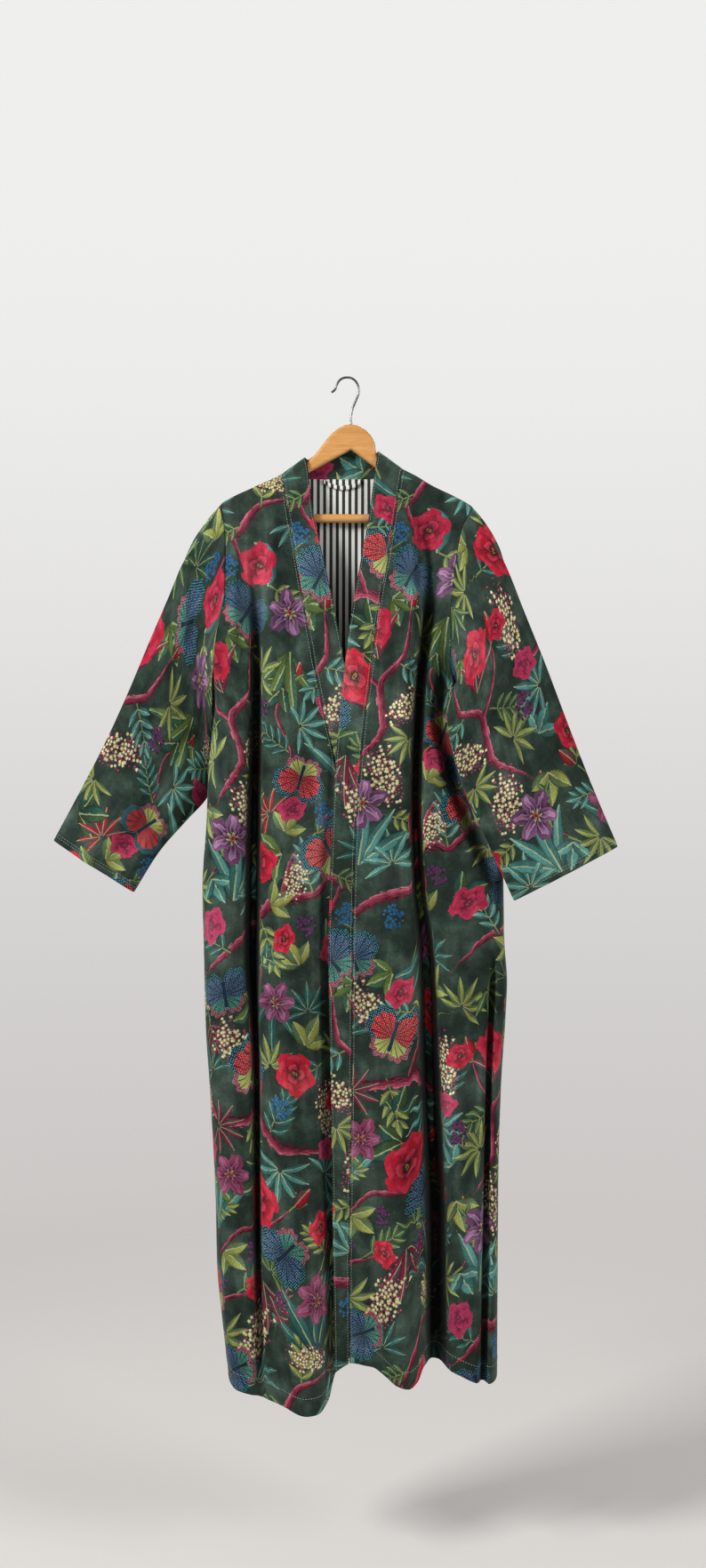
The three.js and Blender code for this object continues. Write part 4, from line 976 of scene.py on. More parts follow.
laid = add_node(stitch_tree, "GeometryNodeInstanceOnPoints", {"Points": spots.outputs["Points"],
    "Instance": bead.outputs["Mesh"], "Rotation": spots.outputs["Rotation"], "Scale": scaled})
real = add_node(stitch_tree, "GeometryNodeRealizeInstances", {"Geometry": laid})
dressed = add_node(stitch_tree, "GeometryNodeSetMaterial", {"Geometry": real, "Material": thread_material})
stitch_tree.links.new(dressed.outputs[0], result.inputs[0])

# %% Stitches
rows = placed("rows", seams)
stitching = rows.modifiers.new("stitching", "NODES")
stitching.node_group = stitch_tree
for item in stitch_tree.interface.items_tree:
    if item.item_type == "SOCKET" and item.in_out == "INPUT" and item.name == "Stitch Pitch":
        stitching[item.identifier] = PITCH
topstitching = mesh_piece(rows, "topstitching")
for polygon in topstitching.data.polygons:
    polygon.use_smooth = True
print("stitches:", len(topstitching.data.polygons) // 24)


# %% [markdown]
# ## The printed design
# The velvet is printed with a dense garden: red rosettes, violet lilies, butterflies, berries,
# blossom and many kinds of leaves on wine-red branches. A printer cuts such a design once, as
# one repeat, and steps it over the bolt; the tailor then cuts every piece from another part
# of the bolt. The same happens here. One repeat is charted in millimetres, and each
# motif is stamped on the faces under it: their corners learn where they lie inside the motif.
# The shader draws the motif from those places, so its edges stay crisp however coarse the mesh.

# %% Motifs
REPEAT = (560.0, 640.0)
TONE = {"teal": 0.04, "sea": 0.18, "lime": 0.32, "green": 0.46, "moss": 0.60, "wine": 0.74, "crimson": 0.88}
LEAF_LAYERS = 4
design = []  # (layer, kind, x, y, angle, size, numbers)


def rotated(place, x, y, angle):
    dx, dy = place[..., 0] - x, place[..., 1] - y
    return dx * math.cos(angle) + dy * math.sin(angle), dy * math.cos(angle) - dx * math.sin(angle)


def leaf_places(place, x, y, angle, length, half, bend, tone):
    along, side = rotated(place, x, y, angle)
    a = along / length
    b = (side - bend * length * a * a) / half
    return np.stack([a, b, np.full_like(a, tone)], -1), 1 - np.maximum(np.abs(b), np.abs(2 * a - 1)).min(-1)


def disc_places(place, x, y, angle, size, tone, squash):
    across, up = rotated(place, x, y, angle)
    up = up / squash
    return (np.stack([across / size, up / size, np.full_like(across, tone)], -1),
        1 - (np.hypot(across, up) / size).min(-1))


def twig_places(place, points, widths):
    line = curve_of(np.arange(len(points), dtype=float), np.array(points, float))(np.linspace(0,
        len(points) - 1, 8 * len(points)))
    wide = np.interp(np.linspace(0, 1, len(line) - 1), np.linspace(0, 1, len(widths)), widths)
    step = np.diff(line, axis=0)
    length = np.linalg.norm(step, axis=1)
    start = np.concatenate([[0], np.cumsum(length)[:-1]])
    offset = place[..., None, :] - line[:-1]
    share = np.clip((offset * step).sum(-1) / length**2, 0, 1)
    foot = offset - share[..., None] * step
    distance = np.linalg.norm(foot, axis=-1)
    near = distance.argmin(-1)
    pick = np.take_along_axis(distance, near[..., None], -1)[..., 0]
    cross = np.take_along_axis(step[:, 0] * offset[..., 1] - step[:, 1] * offset[..., 0], near[..., None],
        -1)[..., 0]
    s = start[near] + np.take_along_axis(share, near[..., None], -1)[..., 0] * length[near]
    return (np.stack([s, np.where(cross < 0, -pick, pick), wide[near]], -1),
        1 - (pick / (wide[near] + 6)).min(-1))


def add_leaf(x, y, degrees, length, half, bend, tone):
    layer = f"leaves_{len(design) % LEAF_LAYERS}"
    design.append((layer, leaf_places, (x, y), length * 1.1, (x, y, math.radians(degrees), length, half, bend,
        TONE[tone])))


def add_disc(layer, x, y, degrees, size, tone=0.0, squash=1.0):
    design.append((layer, disc_places, (x, y), size * 1.15, (x, y, math.radians(degrees), size, tone,
        squash)))


def add_twig(points, widths):
    centre = np.mean(points, axis=0)
    reach = np.linalg.norm(np.array(points) - centre, axis=1).max() + 20
    design.append(("twigs", twig_places, tuple(centre), reach, (points, widths)))


def palmate(x, y, degrees, size, tone, leaflets=7):
    for k in range(leaflets):
        lean = k - (leaflets - 1) / 2
        length = size * (1 - 0.05 * abs(lean))
        way = degrees + lean * 228 / leaflets
        off = 0.07 * length
        add_leaf(x + off * math.cos(math.radians(way)), y + off * math.sin(math.radians(way)), way, length,
            0.125 * length, 0.05 * lean, tone)


def pinnate(x, y, degrees, size, tone, pairs=4):
    turn = math.radians(degrees)
    for k in range(pairs):
        along = size * (0.18 + 0.62 * k / (pairs - 1))
        px, py = x + along * math.cos(turn), y + along * math.sin(turn)
        length = size * (0.42 - 0.045 * abs(k - 1))
        for way in (-1, 1):
            add_leaf(px, py, degrees + way * (58 - 5 * k), length, 0.2 * length, -0.10 * way, tone)
    add_leaf(x + 0.8 * size * math.cos(turn), y + 0.8 * size * math.sin(turn), degrees, 0.38 * size,
        0.075 * size, 0.03, tone)
    add_twig([(x, y), (x + 0.45 * size * math.cos(turn + 0.06), y + 0.45 * size * math.sin(turn + 0.06)),
              (x + 0.9 * size * math.cos(turn), y + 0.9 * size * math.sin(turn))], [1.3, 0.7])


def rose_leaves(x, y, degrees, size, tone, leaves=3):
    for k in range(leaves):
        lean = k - (leaves - 1) / 2
        length = size * (1 - 0.14 * abs(lean))
        add_leaf(x, y, degrees + 52 * lean, length, 0.27 * length, 0.08 * lean, tone)


def straps(x, y, degrees, size, tone, leaves=4):
    for k in range(leaves):
        lean = k - (leaves - 1) / 2
        length = size * (1 - 0.12 * (k % 2))
        add_leaf(x, y, degrees + 20 * lean, length, 0.075 * length + 2, 0.16 * lean, tone)


def bud(x, y, degrees, size):
    for lean in (-30, 30):
        add_leaf(x, y, degrees + lean, 0.62 * size, 0.13 * size, 0.10 * lean / 30, "green")
    add_leaf(x, y, degrees, size, 0.30 * size, 0.0, "crimson")


# %% One repeat: branches
BRANCH_GAIN = 1.3
branches = [([(30, 70), (95, 118), (150, 128), (215, 170), (262, 172), (322, 226), (378, 240)],
    [3, 7, 6, 7, 5, 3.5, 1.5]), ([(215, 170), (232, 226), (270, 262)], [4, 2.5, 1.2]),
    ([(532, 440), (470, 452), (424, 492), (356, 488), (300, 532), (262, 590)], [3, 7, 7, 6, 4, 1.5]),
    ([(424, 492), (446, 544), (432, 590)], [4, 2.5, 1.2]), ([(62, 318), (104, 372), (98, 430), (142, 478),
    (150, 540)], [2, 5.5, 5, 4, 1.5]), ([(98, 430), (54, 468), (40, 506)], [3, 2, 1.2]),
    ([(300, 8), (352, 52), (418, 62), (470, 112), (528, 122)], [2, 5, 5.5, 4, 1.5]),
    ([(418, 62), (436, 20), (486, -14)], [3.5, 2.2, 1.2]), ([(330, 300), (372, 332), (430, 330), (486, 366)],
    [1.5, 3.5, 3, 1.2]), ([(150, 20), (176, 66), (168, 128)], [1.2, 1.6, 1.6]),
    ([(500, 190), (508, 240), (540, 290)], [1.6, 1.8, 1.0]), ([(210, 330), (236, 380), (216, 440),
    (240, 486)], [1.2, 1.8, 1.8, 1.0]), ([(20, 190), (46, 226), (40, 280)], [1.0, 1.6, 1.2])]
for points, widths in branches:
    add_twig(points, [BRANCH_GAIN * width for width in widths])

# %% Leaves of the repeat: kind, x, y, degrees, size, tone
leaf_table = [(palmate, 118, 168, 100, 50, "teal"), (palmate, 330, 178, -60, 48, "lime"),
    (palmate, 470, 420, -100, 52, "teal"), (palmate, 330, 560, 120, 48, "sea"),
    (palmate, 60, 372, 160, 46, "lime"), (palmate, 520, 84, -50, 46, "teal"),
    (palmate, 386, 108, 95, 46, "sea"), (palmate, 182, 500, 20, 46, "lime"),
    (palmate, 250, 420, 10, 44, "teal"), (palmate, 14, 20, 60, 44, "sea"),
    (palmate, 440, 268, 40, 42, "green"), (pinnate, 60, 92, 150, 70, "sea"),
    (pinnate, 176, 138, -70, 74, "lime"), (pinnate, 262, 176, 100, 72, "teal"),
    (pinnate, 356, 240, 30, 66, "green"), (pinnate, 392, 492, -75, 72, "lime"),
    (pinnate, 308, 520, -130, 70, "teal"), (pinnate, 452, 462, 60, 74, "sea"),
    (pinnate, 128, 462, -30, 66, "teal"), (pinnate, 78, 430, -150, 60, "green"),
    (pinnate, 150, 540, 100, 64, "sea"), (pinnate, 470, 112, 80, 70, "lime"),
    (pinnate, 350, 52, 130, 64, "teal"), (pinnate, 508, 240, 10, 60, "teal"),
    (pinnate, 236, 380, 140, 58, "sea"), (pinnate, 46, 226, 40, 58, "lime"),
    (pinnate, 168, 66, 40, 58, "sea"), (pinnate, 486, -14, -30, 60, "lime"),
    (pinnate, 262, 590, 60, 60, "green"), (pinnate, 540, 290, 130, 56, "lime"),
    (pinnate, 432, 590, 170, 54, "teal"), (rose_leaves, 216, 236, 200, 54, "green"),
    (rose_leaves, 416, 402, 200, 56, "moss"), (rose_leaves, 118, 560, -20, 52, "green"),
    (rose_leaves, 490, 30, 200, 52, "teal"), (rose_leaves, 284, 96, 30, 48, "moss"),
    (rose_leaves, 520, 596, 60, 48, "lime"), (rose_leaves, 330, 400, 250, 46, "green"),
    (rose_leaves, 24, 300, -70, 46, "lime"), (rose_leaves, 152, 300, 30, 46, "moss"),
    (straps, 66, 168, 70, 110, "teal"), (straps, 500, 150, 100, 116, "sea"),
    (straps, 236, 530, 260, 104, "green"), (straps, 318, 330, 90, 100, "teal"),
    (straps, 196, 40, 250, 92, "sea"), (pinnate, 6, 452, 80, 60, "sea"), (palmate, 22, 580, 60, 44, "lime"),
    (rose_leaves, 236, 74, 120, 42, "lime"), (palmate, 246, 4, 90, 42, "sea"),
    (rose_leaves, 120, 8, 200, 44, "green"), (palmate, 552, 186, -30, 44, "lime"),
    (pinnate, 436, 196, 60, 56, "wine"), (rose_leaves, 338, 300, -40, 42, "lime"),
    (palmate, 200, 292, 150, 42, "crimson"), (rose_leaves, 404, 444, 70, 44, "moss"),
    (palmate, 546, 404, 30, 46, "teal"), (rose_leaves, 380, 30, 160, 40, "lime"),
    (pinnate, 546, 566, 200, 56, "sea"), (palmate, 60, 604, -40, 44, "green"),
    (rose_leaves, 196, 164, 20, 42, "lime"), (pinnate, 300, 356, 10, 54, "lime"),
    (palmate, 336, 480, -20, 42, "wine"), (rose_leaves, 16, 352, 140, 42, "teal"),
    (pinnate, 112, 238, -20, 54, "lime"), (rose_leaves, 226, 476, 220, 40, "moss"),
    (palmate, 462, 566, 100, 44, "lime"), (pinnate, 432, 78, 200, 52, "green"),
    (rose_leaves, 560, 24, 150, 42, "lime"), (palmate, 104, 628, 100, 42, "moss"),
    (pinnate, 316, 634, -60, 54, "wine"), (rose_leaves, 222, 268, 60, 40, "lime"),
    (palmate, 142, 350, 250, 40, "lime"), (rose_leaves, 34, 198, -60, 40, "teal"),
    (straps, 424, 250, -80, 84, "wine"), (straps, 96, 470, 110, 78, "wine")]
for kind, *row in leaf_table:
    kind(*row)
bud_table = [(274, 262, 60, 34), (486, 366, 40, 36), (40, 506, 110, 34), (240, 486, 70, 32),
    (528, 122, 20, 34), (150, 540, 80, 30), (168, 128, 110, 30), (378, 240, 0, 34), (40, 280, 100, 30),
    (540, 290, 60, 32)]
for row in bud_table:
    bud(*row)

# %% Flowers, berries and butterflies of the repeat: x, y, degrees, size, tone, squash
disc_table = {"rosettes": [(176, 222, 10, 36, 0.0, 0.9), (424, 366, 80, 41, 0.0, 1.0),
    (300, 92, 200, 31, 0.6, 0.8), (84, 520, 30, 37, 0.2, 1.0), (500, 556, 120, 36, 0.0, 0.85),
    (30, 130, 60, 30, 1.0, 0.8), (462, 22, 300, 35, 0.3, 1.0), (300, 448, 150, 29, 1.0, 0.75),
    (530, 330, 250, 27, 0.0, 0.8), (236, 300, 20, 25, 0.8, 0.75), (388, 244, 130, 24, 0.0, 0.8),
    (556, 440, 0, 25, 0.9, 0.75), (20, 510, 200, 24, 0.1, 0.8), (214, 112, 70, 23, 0.0, 0.75),
    (412, 620, 40, 26, 0.5, 0.8)], "lilies": [(72, 258, 20, 40, 0.0), (512, 228, 200, 38, 1.0),
    (236, 588, 100, 38, 0.0), (350, 410, 300, 34, 1.0), (196, 20, 60, 33, 0.6)],
    "clusters": [(104, 300, 20, 60, 0.0), (392, 176, -30, 66, 0.0), (360, 600, 40, 58, 0.0),
    (150, 400, -60, 56, 0.0), (556, 500, 10, 56, 0.0), (236, 196, 160, 46, 0.0), (486, 150, 80, 44, 0.0),
    (20, 20, 120, 44, 0.0), (300, 520, 30, 42, 0.0), (250, 130, 40, 22, 0.5), (286, 290, 0, 24, 1.0),
    (476, 510, 30, 22, 1.0), (190, 452, 10, 22, 0.5), (24, 400, 0, 24, 0.5), (412, 20, 0, 22, 1.0),
    (384, 300, 0, 20, 0.5), (120, 92, 0, 24, 1.0), (560, 60, 0, 22, 0.5), (452, 230, 0, 18, 0.5),
    (330, 256, 0, 17, 0.5)], "butterflies": [(296, 232, 30, 52, 0.0), (150, 590, -40, 50, 1.0),
    (470, 300, 130, 50, 1.0), (250, 346, 160, 44, 0.0), (60, 30, 20, 46, 1.0), (400, 556, -20, 52, 0.0),
    (356, 130, 110, 42, 1.0)]}
for layer, rows in disc_table.items():
    for row in rows:
        add_disc(layer, *row)
print("one repeat:", len(design), "motifs")

# %% Stamping the cut pieces
LAYERS = ["twigs"] + [f"leaves_{i}" for i in range(LEAF_LAYERS)] + ["clusters", "rosettes", "lilies",
    "butterflies"]
NOWHERE = 50.0  # the place of a corner that no motif covers
FACE_MARGIN = 8  # mm: a face that close to a motif may still touch it
DEEPEST = 30  # mm: the depth of a fully shaded valley


def print_cloth(piece, pattern, printed, offset):
    """Steps the repeat over one cut piece, and stores each layer's places at its face corners."""
    place = pattern + np.array(offset, float)
    places = {layer: np.full(pattern.shape[:2] + (3,), NOWHERE) for layer in LAYERS}
    best = {layer: np.full(len(pattern), -1e9) for layer in LAYERS}
    middle = place.mean(1)
    upwards = np.where(printed)[0]
    upwards = upwards[np.argsort(middle[upwards, 1])]
    heights = middle[upwards, 1]
    low, high = middle[printed].min(0), middle[printed].max(0)
    for layer, kind, centre, reach, numbers in design:
        steps = [range(math.floor((low[i] - reach - centre[i]) / REPEAT[i]),
            math.ceil((high[i] + reach - centre[i]) / REPEAT[i]) + 1) for i in (0, 1)]
        for i in steps[0]:
            for j in steps[1]:
                shift = np.array([i * REPEAT[0] + (j % 2) * REPEAT[0] / 2, j * REPEAT[1]])
                about = shift[1] + centre[1]
                near = upwards[slice(*np.searchsorted(heights, (about - reach - FACE_MARGIN,
                    about + reach + FACE_MARGIN)))]
                near = near[((middle[near] - shift - centre) ** 2).sum(1) < (reach + FACE_MARGIN) ** 2]
                if len(near) == 0:
                    continue
                local, depth = kind(place[near] - shift, *numbers)
                better = depth > best[layer][near]
                best[layer][near[better]] = depth[better]
                places[layer][near[better]] = local[better]
    for layer in LAYERS:
        data = piece.data.attributes.new(layer, "FLOAT_VECTOR", "CORNER")
        data.data.foreach_set("vector", places[layer].astype(np.float32).ravel())


def mark_valleys(piece):
    """How deep in a valley each point lies; the velvet shader darkens the colour there by it, as painted
    shade.
    """
    points = np.empty(len(piece.data.vertices) * 3)
    piece.data.vertices.foreach_get("co", points)
    x, y, z = points.reshape(-1, 3).T / MM
    z = z - DATUM
    depth = 0 * x
    if piece.name.startswith(("front", "back")):
        for curves, face in ((front_fold_curves, y < 5), (back_fold_curves, y >= 5)):
            gullies = [row for row in curves if row[3] == GULLY_POWER]
            depth = depth + np.where(face, -folds_at(gullies, x, z), 0)
    data = piece.data.attributes.new("valley", "FLOAT", "POINT")
    data.data.foreach_set("value", np.clip(depth / DEEPEST, 0, 1).astype(np.float32))


cut_offsets = {"front_left": (40, 300), "front_right": (330, 250), "back": (170, 420),
    "sleeve_left": (210, 690), "sleeve_right": (60, 610), "band_left": (400, 80), "band_right": (120, 0),
    "band_back": (20, 90)}
for name, offset in cut_offsets.items():
    piece, pattern, inside, _ = cloth[name]
    printed = (inside == 0) | name.startswith("band")
    print_cloth(piece, pattern, printed, offset)
    mark_valleys(piece)
print("printed:", ", ".join(cut_offsets))

# %% [markdown]
# ## How each motif is painted
# A painter builds a rose from rings of petals and a leaf from two halves and a rib. The node
# groups below do the same from the places that were stamped on the cloth. Every group takes
# the layer's place and the colour under it, and gives the colour with the motif over it.

# %% Paint groups
def new_group(name, inputs):
    """A node group that paints over a colour, with the sockets of its input and its output."""
    group = bpy.data.node_groups.new(name, "ShaderNodeTree")
    for label, kind in inputs:
        group.interface.new_socket(label, in_out="INPUT", socket_type=kind)
    group.interface.new_socket("Color", in_out="OUTPUT", socket_type=COLOUR)
    return group, group.nodes.new("NodeGroupInput").outputs, group.nodes.new("NodeGroupOutput").inputs[0]


VECTOR, COLOUR, FLOAT = "NodeSocketVector", "NodeSocketColor", "NodeSocketFloat"

# A ring of petals over a colour
petals, given, result = new_group("petal_ring", [("Radius", FLOAT), ("Angle", FLOAT), ("Petals", FLOAT),
    ("Phase", FLOAT), ("Inner", FLOAT), ("Outer", FLOAT), ("Sharp", FLOAT), ("Base", COLOUR), ("Tip", COLOUR),
    ("Under", COLOUR)])
turn = add_node(petals, MATH, [given["Angle"], given["Petals"], given["Phase"]], operation="MULTIPLY_ADD")
half = add_node(petals, MATH, [turn, 0.5], operation="MULTIPLY")
wave = add_node(petals, MATH, [add_node(petals, MATH, [half], operation="COSINE")], operation="ABSOLUTE")
shape = add_node(petals, MATH, [wave, given["Sharp"]], operation="POWER")
edge = add_node(petals, REMAP, [shape, 0, 1, given["Inner"], given["Outer"]])
inside = add_node(petals, MATH, [given["Radius"], edge], operation="LESS_THAN")
share = add_node(petals, MATH, [given["Radius"], edge], operation="DIVIDE")
light = add_node(petals, REMAP, [share, 0.25, 0.95], interpolation_type="SMOOTHSTEP")
crown = add_node(petals, REMAP, [wave, 0.1, 0.75, 0.25])
lit = add_node(petals, MATH, [light, crown], operation="MULTIPLY")
paint = add_node(petals, MIX, [lit, given["Base"], given["Tip"]], data_type="RGBA")
over = add_node(petals, MIX, [inside, given["Under"], paint], data_type="RGBA")
petals.links.new(over.outputs[2], result)


def polar(tree, place):
    """Radius and angle of a place, a little unsteady, as drawn by hand."""
    flat = add_node(tree, VECTOR_MATH, [place, (1, 1, 0)], operation="MULTIPLY")
    shaken = add_node(tree, NOISE, {"Vector": flat, "Scale": 3.2, "Detail": 2.0})
    centred = add_node(tree, VECTOR_MATH, [shaken.outputs["Color"], (0.5, 0.5, 0.5)], operation="SUBTRACT")
    moved = add_node(tree, VECTOR_MATH, [centred, (0.34, 0.34, 0), flat], operation="MULTIPLY_ADD")
    radius = add_node(tree, VECTOR_MATH, [moved], operation="LENGTH")
    parts = add_node(tree, SPLIT, [moved])
    return (radius, add_node(tree, MATH, [parts.outputs[1], parts.outputs[0]], operation="ARCTAN2"))


LAYER_SOCKETS = [("Place", VECTOR), ("Under", COLOUR)]

# %% Rosette and lily
def flower(name, rings, other, amount):
    """Rings of petals, then a share of another colour that follows the flower's own tone."""
    group, given, result = new_group(name, LAYER_SOCKETS)
    radius, angle = polar(group, given["Place"])
    tone = add_node(group, SPLIT, [given["Place"]]).outputs[2]
    paint = given["Under"]
    for count, phase, inner, outer, sharp, base, tip in rings:
        share = add_node(group, MATH, [tone, amount], operation="MULTIPLY")
        shades = [add_node(group, MIX, [share, hex_colour(shade), hex_colour(second)],
            data_type="RGBA").outputs[2] for shade, second in zip((base, tip), other)]
        paint = add_node(group, GROUP, {"Radius": radius, "Angle": angle, "Under": paint, "Petals": count,
            "Phase": phase, "Inner": inner, "Outer": outer, "Sharp": sharp, "Base": shades[0],
            "Tip": shades[1]}, node_tree=petals)
    group.links.new(paint.outputs[0], result)
    return group


rosette = flower("rosette", ((5, 0.0, 0.6, 0.98, 0.45, "#4e0a18", "#c91c38"),
    (5, 3.1, 0.5, 0.8, 0.5, "#420814", "#d63049"), (4, 1.0, 0.36, 0.62, 0.5, "#370711", "#b5132b"),
    (3, 0.6, 0.22, 0.42, 0.6, "#2c060d", "#cf3a50"), (8, 0.0, 0.1, 0.2, 1.0, "#1c0a10", "#3a1018"),
    (7, 0.5, 0.03, 0.11, 1.0, "#3a1a10", "#c9a04a")), ("#3c0a26", "#b23a66"), 0.8)
lily = flower("lily", ((3, 0.0, 0.08, 1.0, 1.7, "#21101f", "#6d4468"),
    (3, 3.14, 0.08, 0.92, 1.9, "#2a1228", "#875a80"), (3, 3.14, 0.02, 0.86, 12.0, "#4a2347", "#b98ab0"),
    (3, 0.0, 0.02, 0.92, 14.0, "#4a2347", "#a87ca2"), (6, 0.4, 0.05, 0.26, 2.5, "#5f6e2e", "#b9bd5e"),
    (3, 0.8, 0.03, 0.12, 1.0, "#6a1626", "#b8445a")), ("#4a0c20", "#a83a58"), 0.55)

# %% Leaf
leaf, given, result = new_group("leaf", LAYER_SOCKETS)
parts = add_node(leaf, SPLIT, [given["Place"]])
along, across, tone = parts.outputs
shaken = add_node(leaf, NOISE, {"Vector": given["Place"], "Scale": 4.0, "Detail": 2.0})
wobble = add_node(leaf, REMAP, [shaken, 0, 1, -0.22, 0.22])
side = add_node(leaf, MATH, [across, wobble], operation="ADD")
beside = add_node(leaf, MATH, [side], operation="ABSOLUTE")
inner = add_node(leaf, MATH, [along, 0.0, 1.0], operation="WRAP")
skewed = add_node(leaf, MATH, [inner, 0.82], operation="POWER")
belly = add_node(leaf, MATH, [add_node(leaf, MATH, [skewed, math.pi], operation="MULTIPLY")],
    operation="SINE")
edge = add_node(leaf, MATH, [belly, 0.8], operation="POWER")
within = add_node(leaf, MATH, [beside, edge], operation="LESS_THAN")
started = add_node(leaf, MATH, [along, 0.5, 0.498], operation="COMPARE")
drawn = add_node(leaf, MATH, [within, started], operation="MULTIPLY")
tones = add_node(leaf, "ShaderNodeValToRGB", [tone])
tones.color_ramp.interpolation = "CONSTANT"
shades = ("#5b9e98", "#356f6b", "#a5ad58", "#647e40", "#3c5634", "#8a2746", "#b5182f")
set_ramp(tones, *((0.14 * i, shade) for i, shade in enumerate(shades)))
shadow = add_node(leaf, MATH, [side, 0.0], operation="GREATER_THAN")
vein_turn = add_node(leaf, MATH, [along, 9.0, add_node(leaf, MATH, [beside, -2.6], operation="MULTIPLY")],
    operation="MULTIPLY_ADD")
vein = add_node(leaf, MATH, [add_node(leaf, MATH, [vein_turn], operation="FRACT"), 0.78],
    operation="GREATER_THAN")
rib = add_node(leaf, MATH, [beside, 0.09], operation="LESS_THAN")
dim = add_node(leaf, MATH, [shadow, -0.34, 1.06], operation="MULTIPLY_ADD")
dim = add_node(leaf, MATH, [vein, -0.3, dim], operation="MULTIPLY_ADD")
fade = add_node(leaf, REMAP, [along, 0, 1, 0.45, 1.2])
near_rim = add_node(leaf, MATH, [beside, edge], operation="DIVIDE")
rim_dark = add_node(leaf, REMAP, [near_rim, 0.66, 1.0, 1.0, 0.38])
dim = add_node(leaf, MATH, [dim, fade], operation="MULTIPLY")
dim = add_node(leaf, MATH, [dim, rim_dark], operation="MULTIPLY")
turned = add_node(leaf, MATH, [shadow, 0.5], operation="MULTIPLY")
two_toned = add_node(leaf, MIX, [turned, tones, hex_colour("#2f7a70")], data_type="RGBA")
shaded = add_node(leaf, VECTOR_MATH, [two_toned, dim], operation="SCALE")
ribbed = add_node(leaf, MIX, [add_node(leaf, MATH, [rib, 0.5], operation="MULTIPLY"), shaded,
    hex_colour("#cdd39a")], data_type="RGBA")
over = add_node(leaf, MIX, [drawn, given["Under"], ribbed], data_type="RGBA")
leaf.links.new(over.outputs[2], result)

# %% Twig: place is along (mm), across (mm), half width (mm)
twig, given, result = new_group("twig", LAYER_SOCKETS)
parts = add_node(twig, SPLIT, [given["Place"]])
along, across, wide = parts.outputs
stretched = add_node(twig, VECTOR_MATH, [given["Place"], (0.05, 0.3, 0)], operation="MULTIPLY")
bark = add_node(twig, NOISE, {"Vector": stretched, "Scale": 1.6, "Detail": 3.0})
rough = add_node(twig, REMAP, [bark, 0.25, 0.75, 0.55, 1.25])
edge = add_node(twig, MATH, [wide, rough], operation="MULTIPLY")
drawn = add_node(twig, MATH, [add_node(twig, MATH, [across], operation="ABSOLUTE"), edge],
    operation="LESS_THAN")
present = add_node(twig, MATH, [wide, 30.0], operation="LESS_THAN")
drawn = add_node(twig, MATH, [drawn, present], operation="MULTIPLY")
share = add_node(twig, MATH, [across, edge], operation="DIVIDE")
round_light = add_node(twig, MATH, [share, 0.32, bark], operation="MULTIPLY_ADD")
colours = add_node(twig, "ShaderNodeValToRGB", [round_light])
set_ramp(colours, (0.15, "#2c0f19"), (0.42, "#6a1b30"), (0.62, "#96324c"), (0.85, "#c96a80"))
thin = add_node(twig, MATH, [wide, 1.7], operation="LESS_THAN")
green = add_node(twig, MIX, [thin, colours, hex_colour("#7c8a4c")], data_type="RGBA")
over = add_node(twig, MIX, [drawn, given["Under"], green], data_type="RGBA")
twig.links.new(over.outputs[2], result)

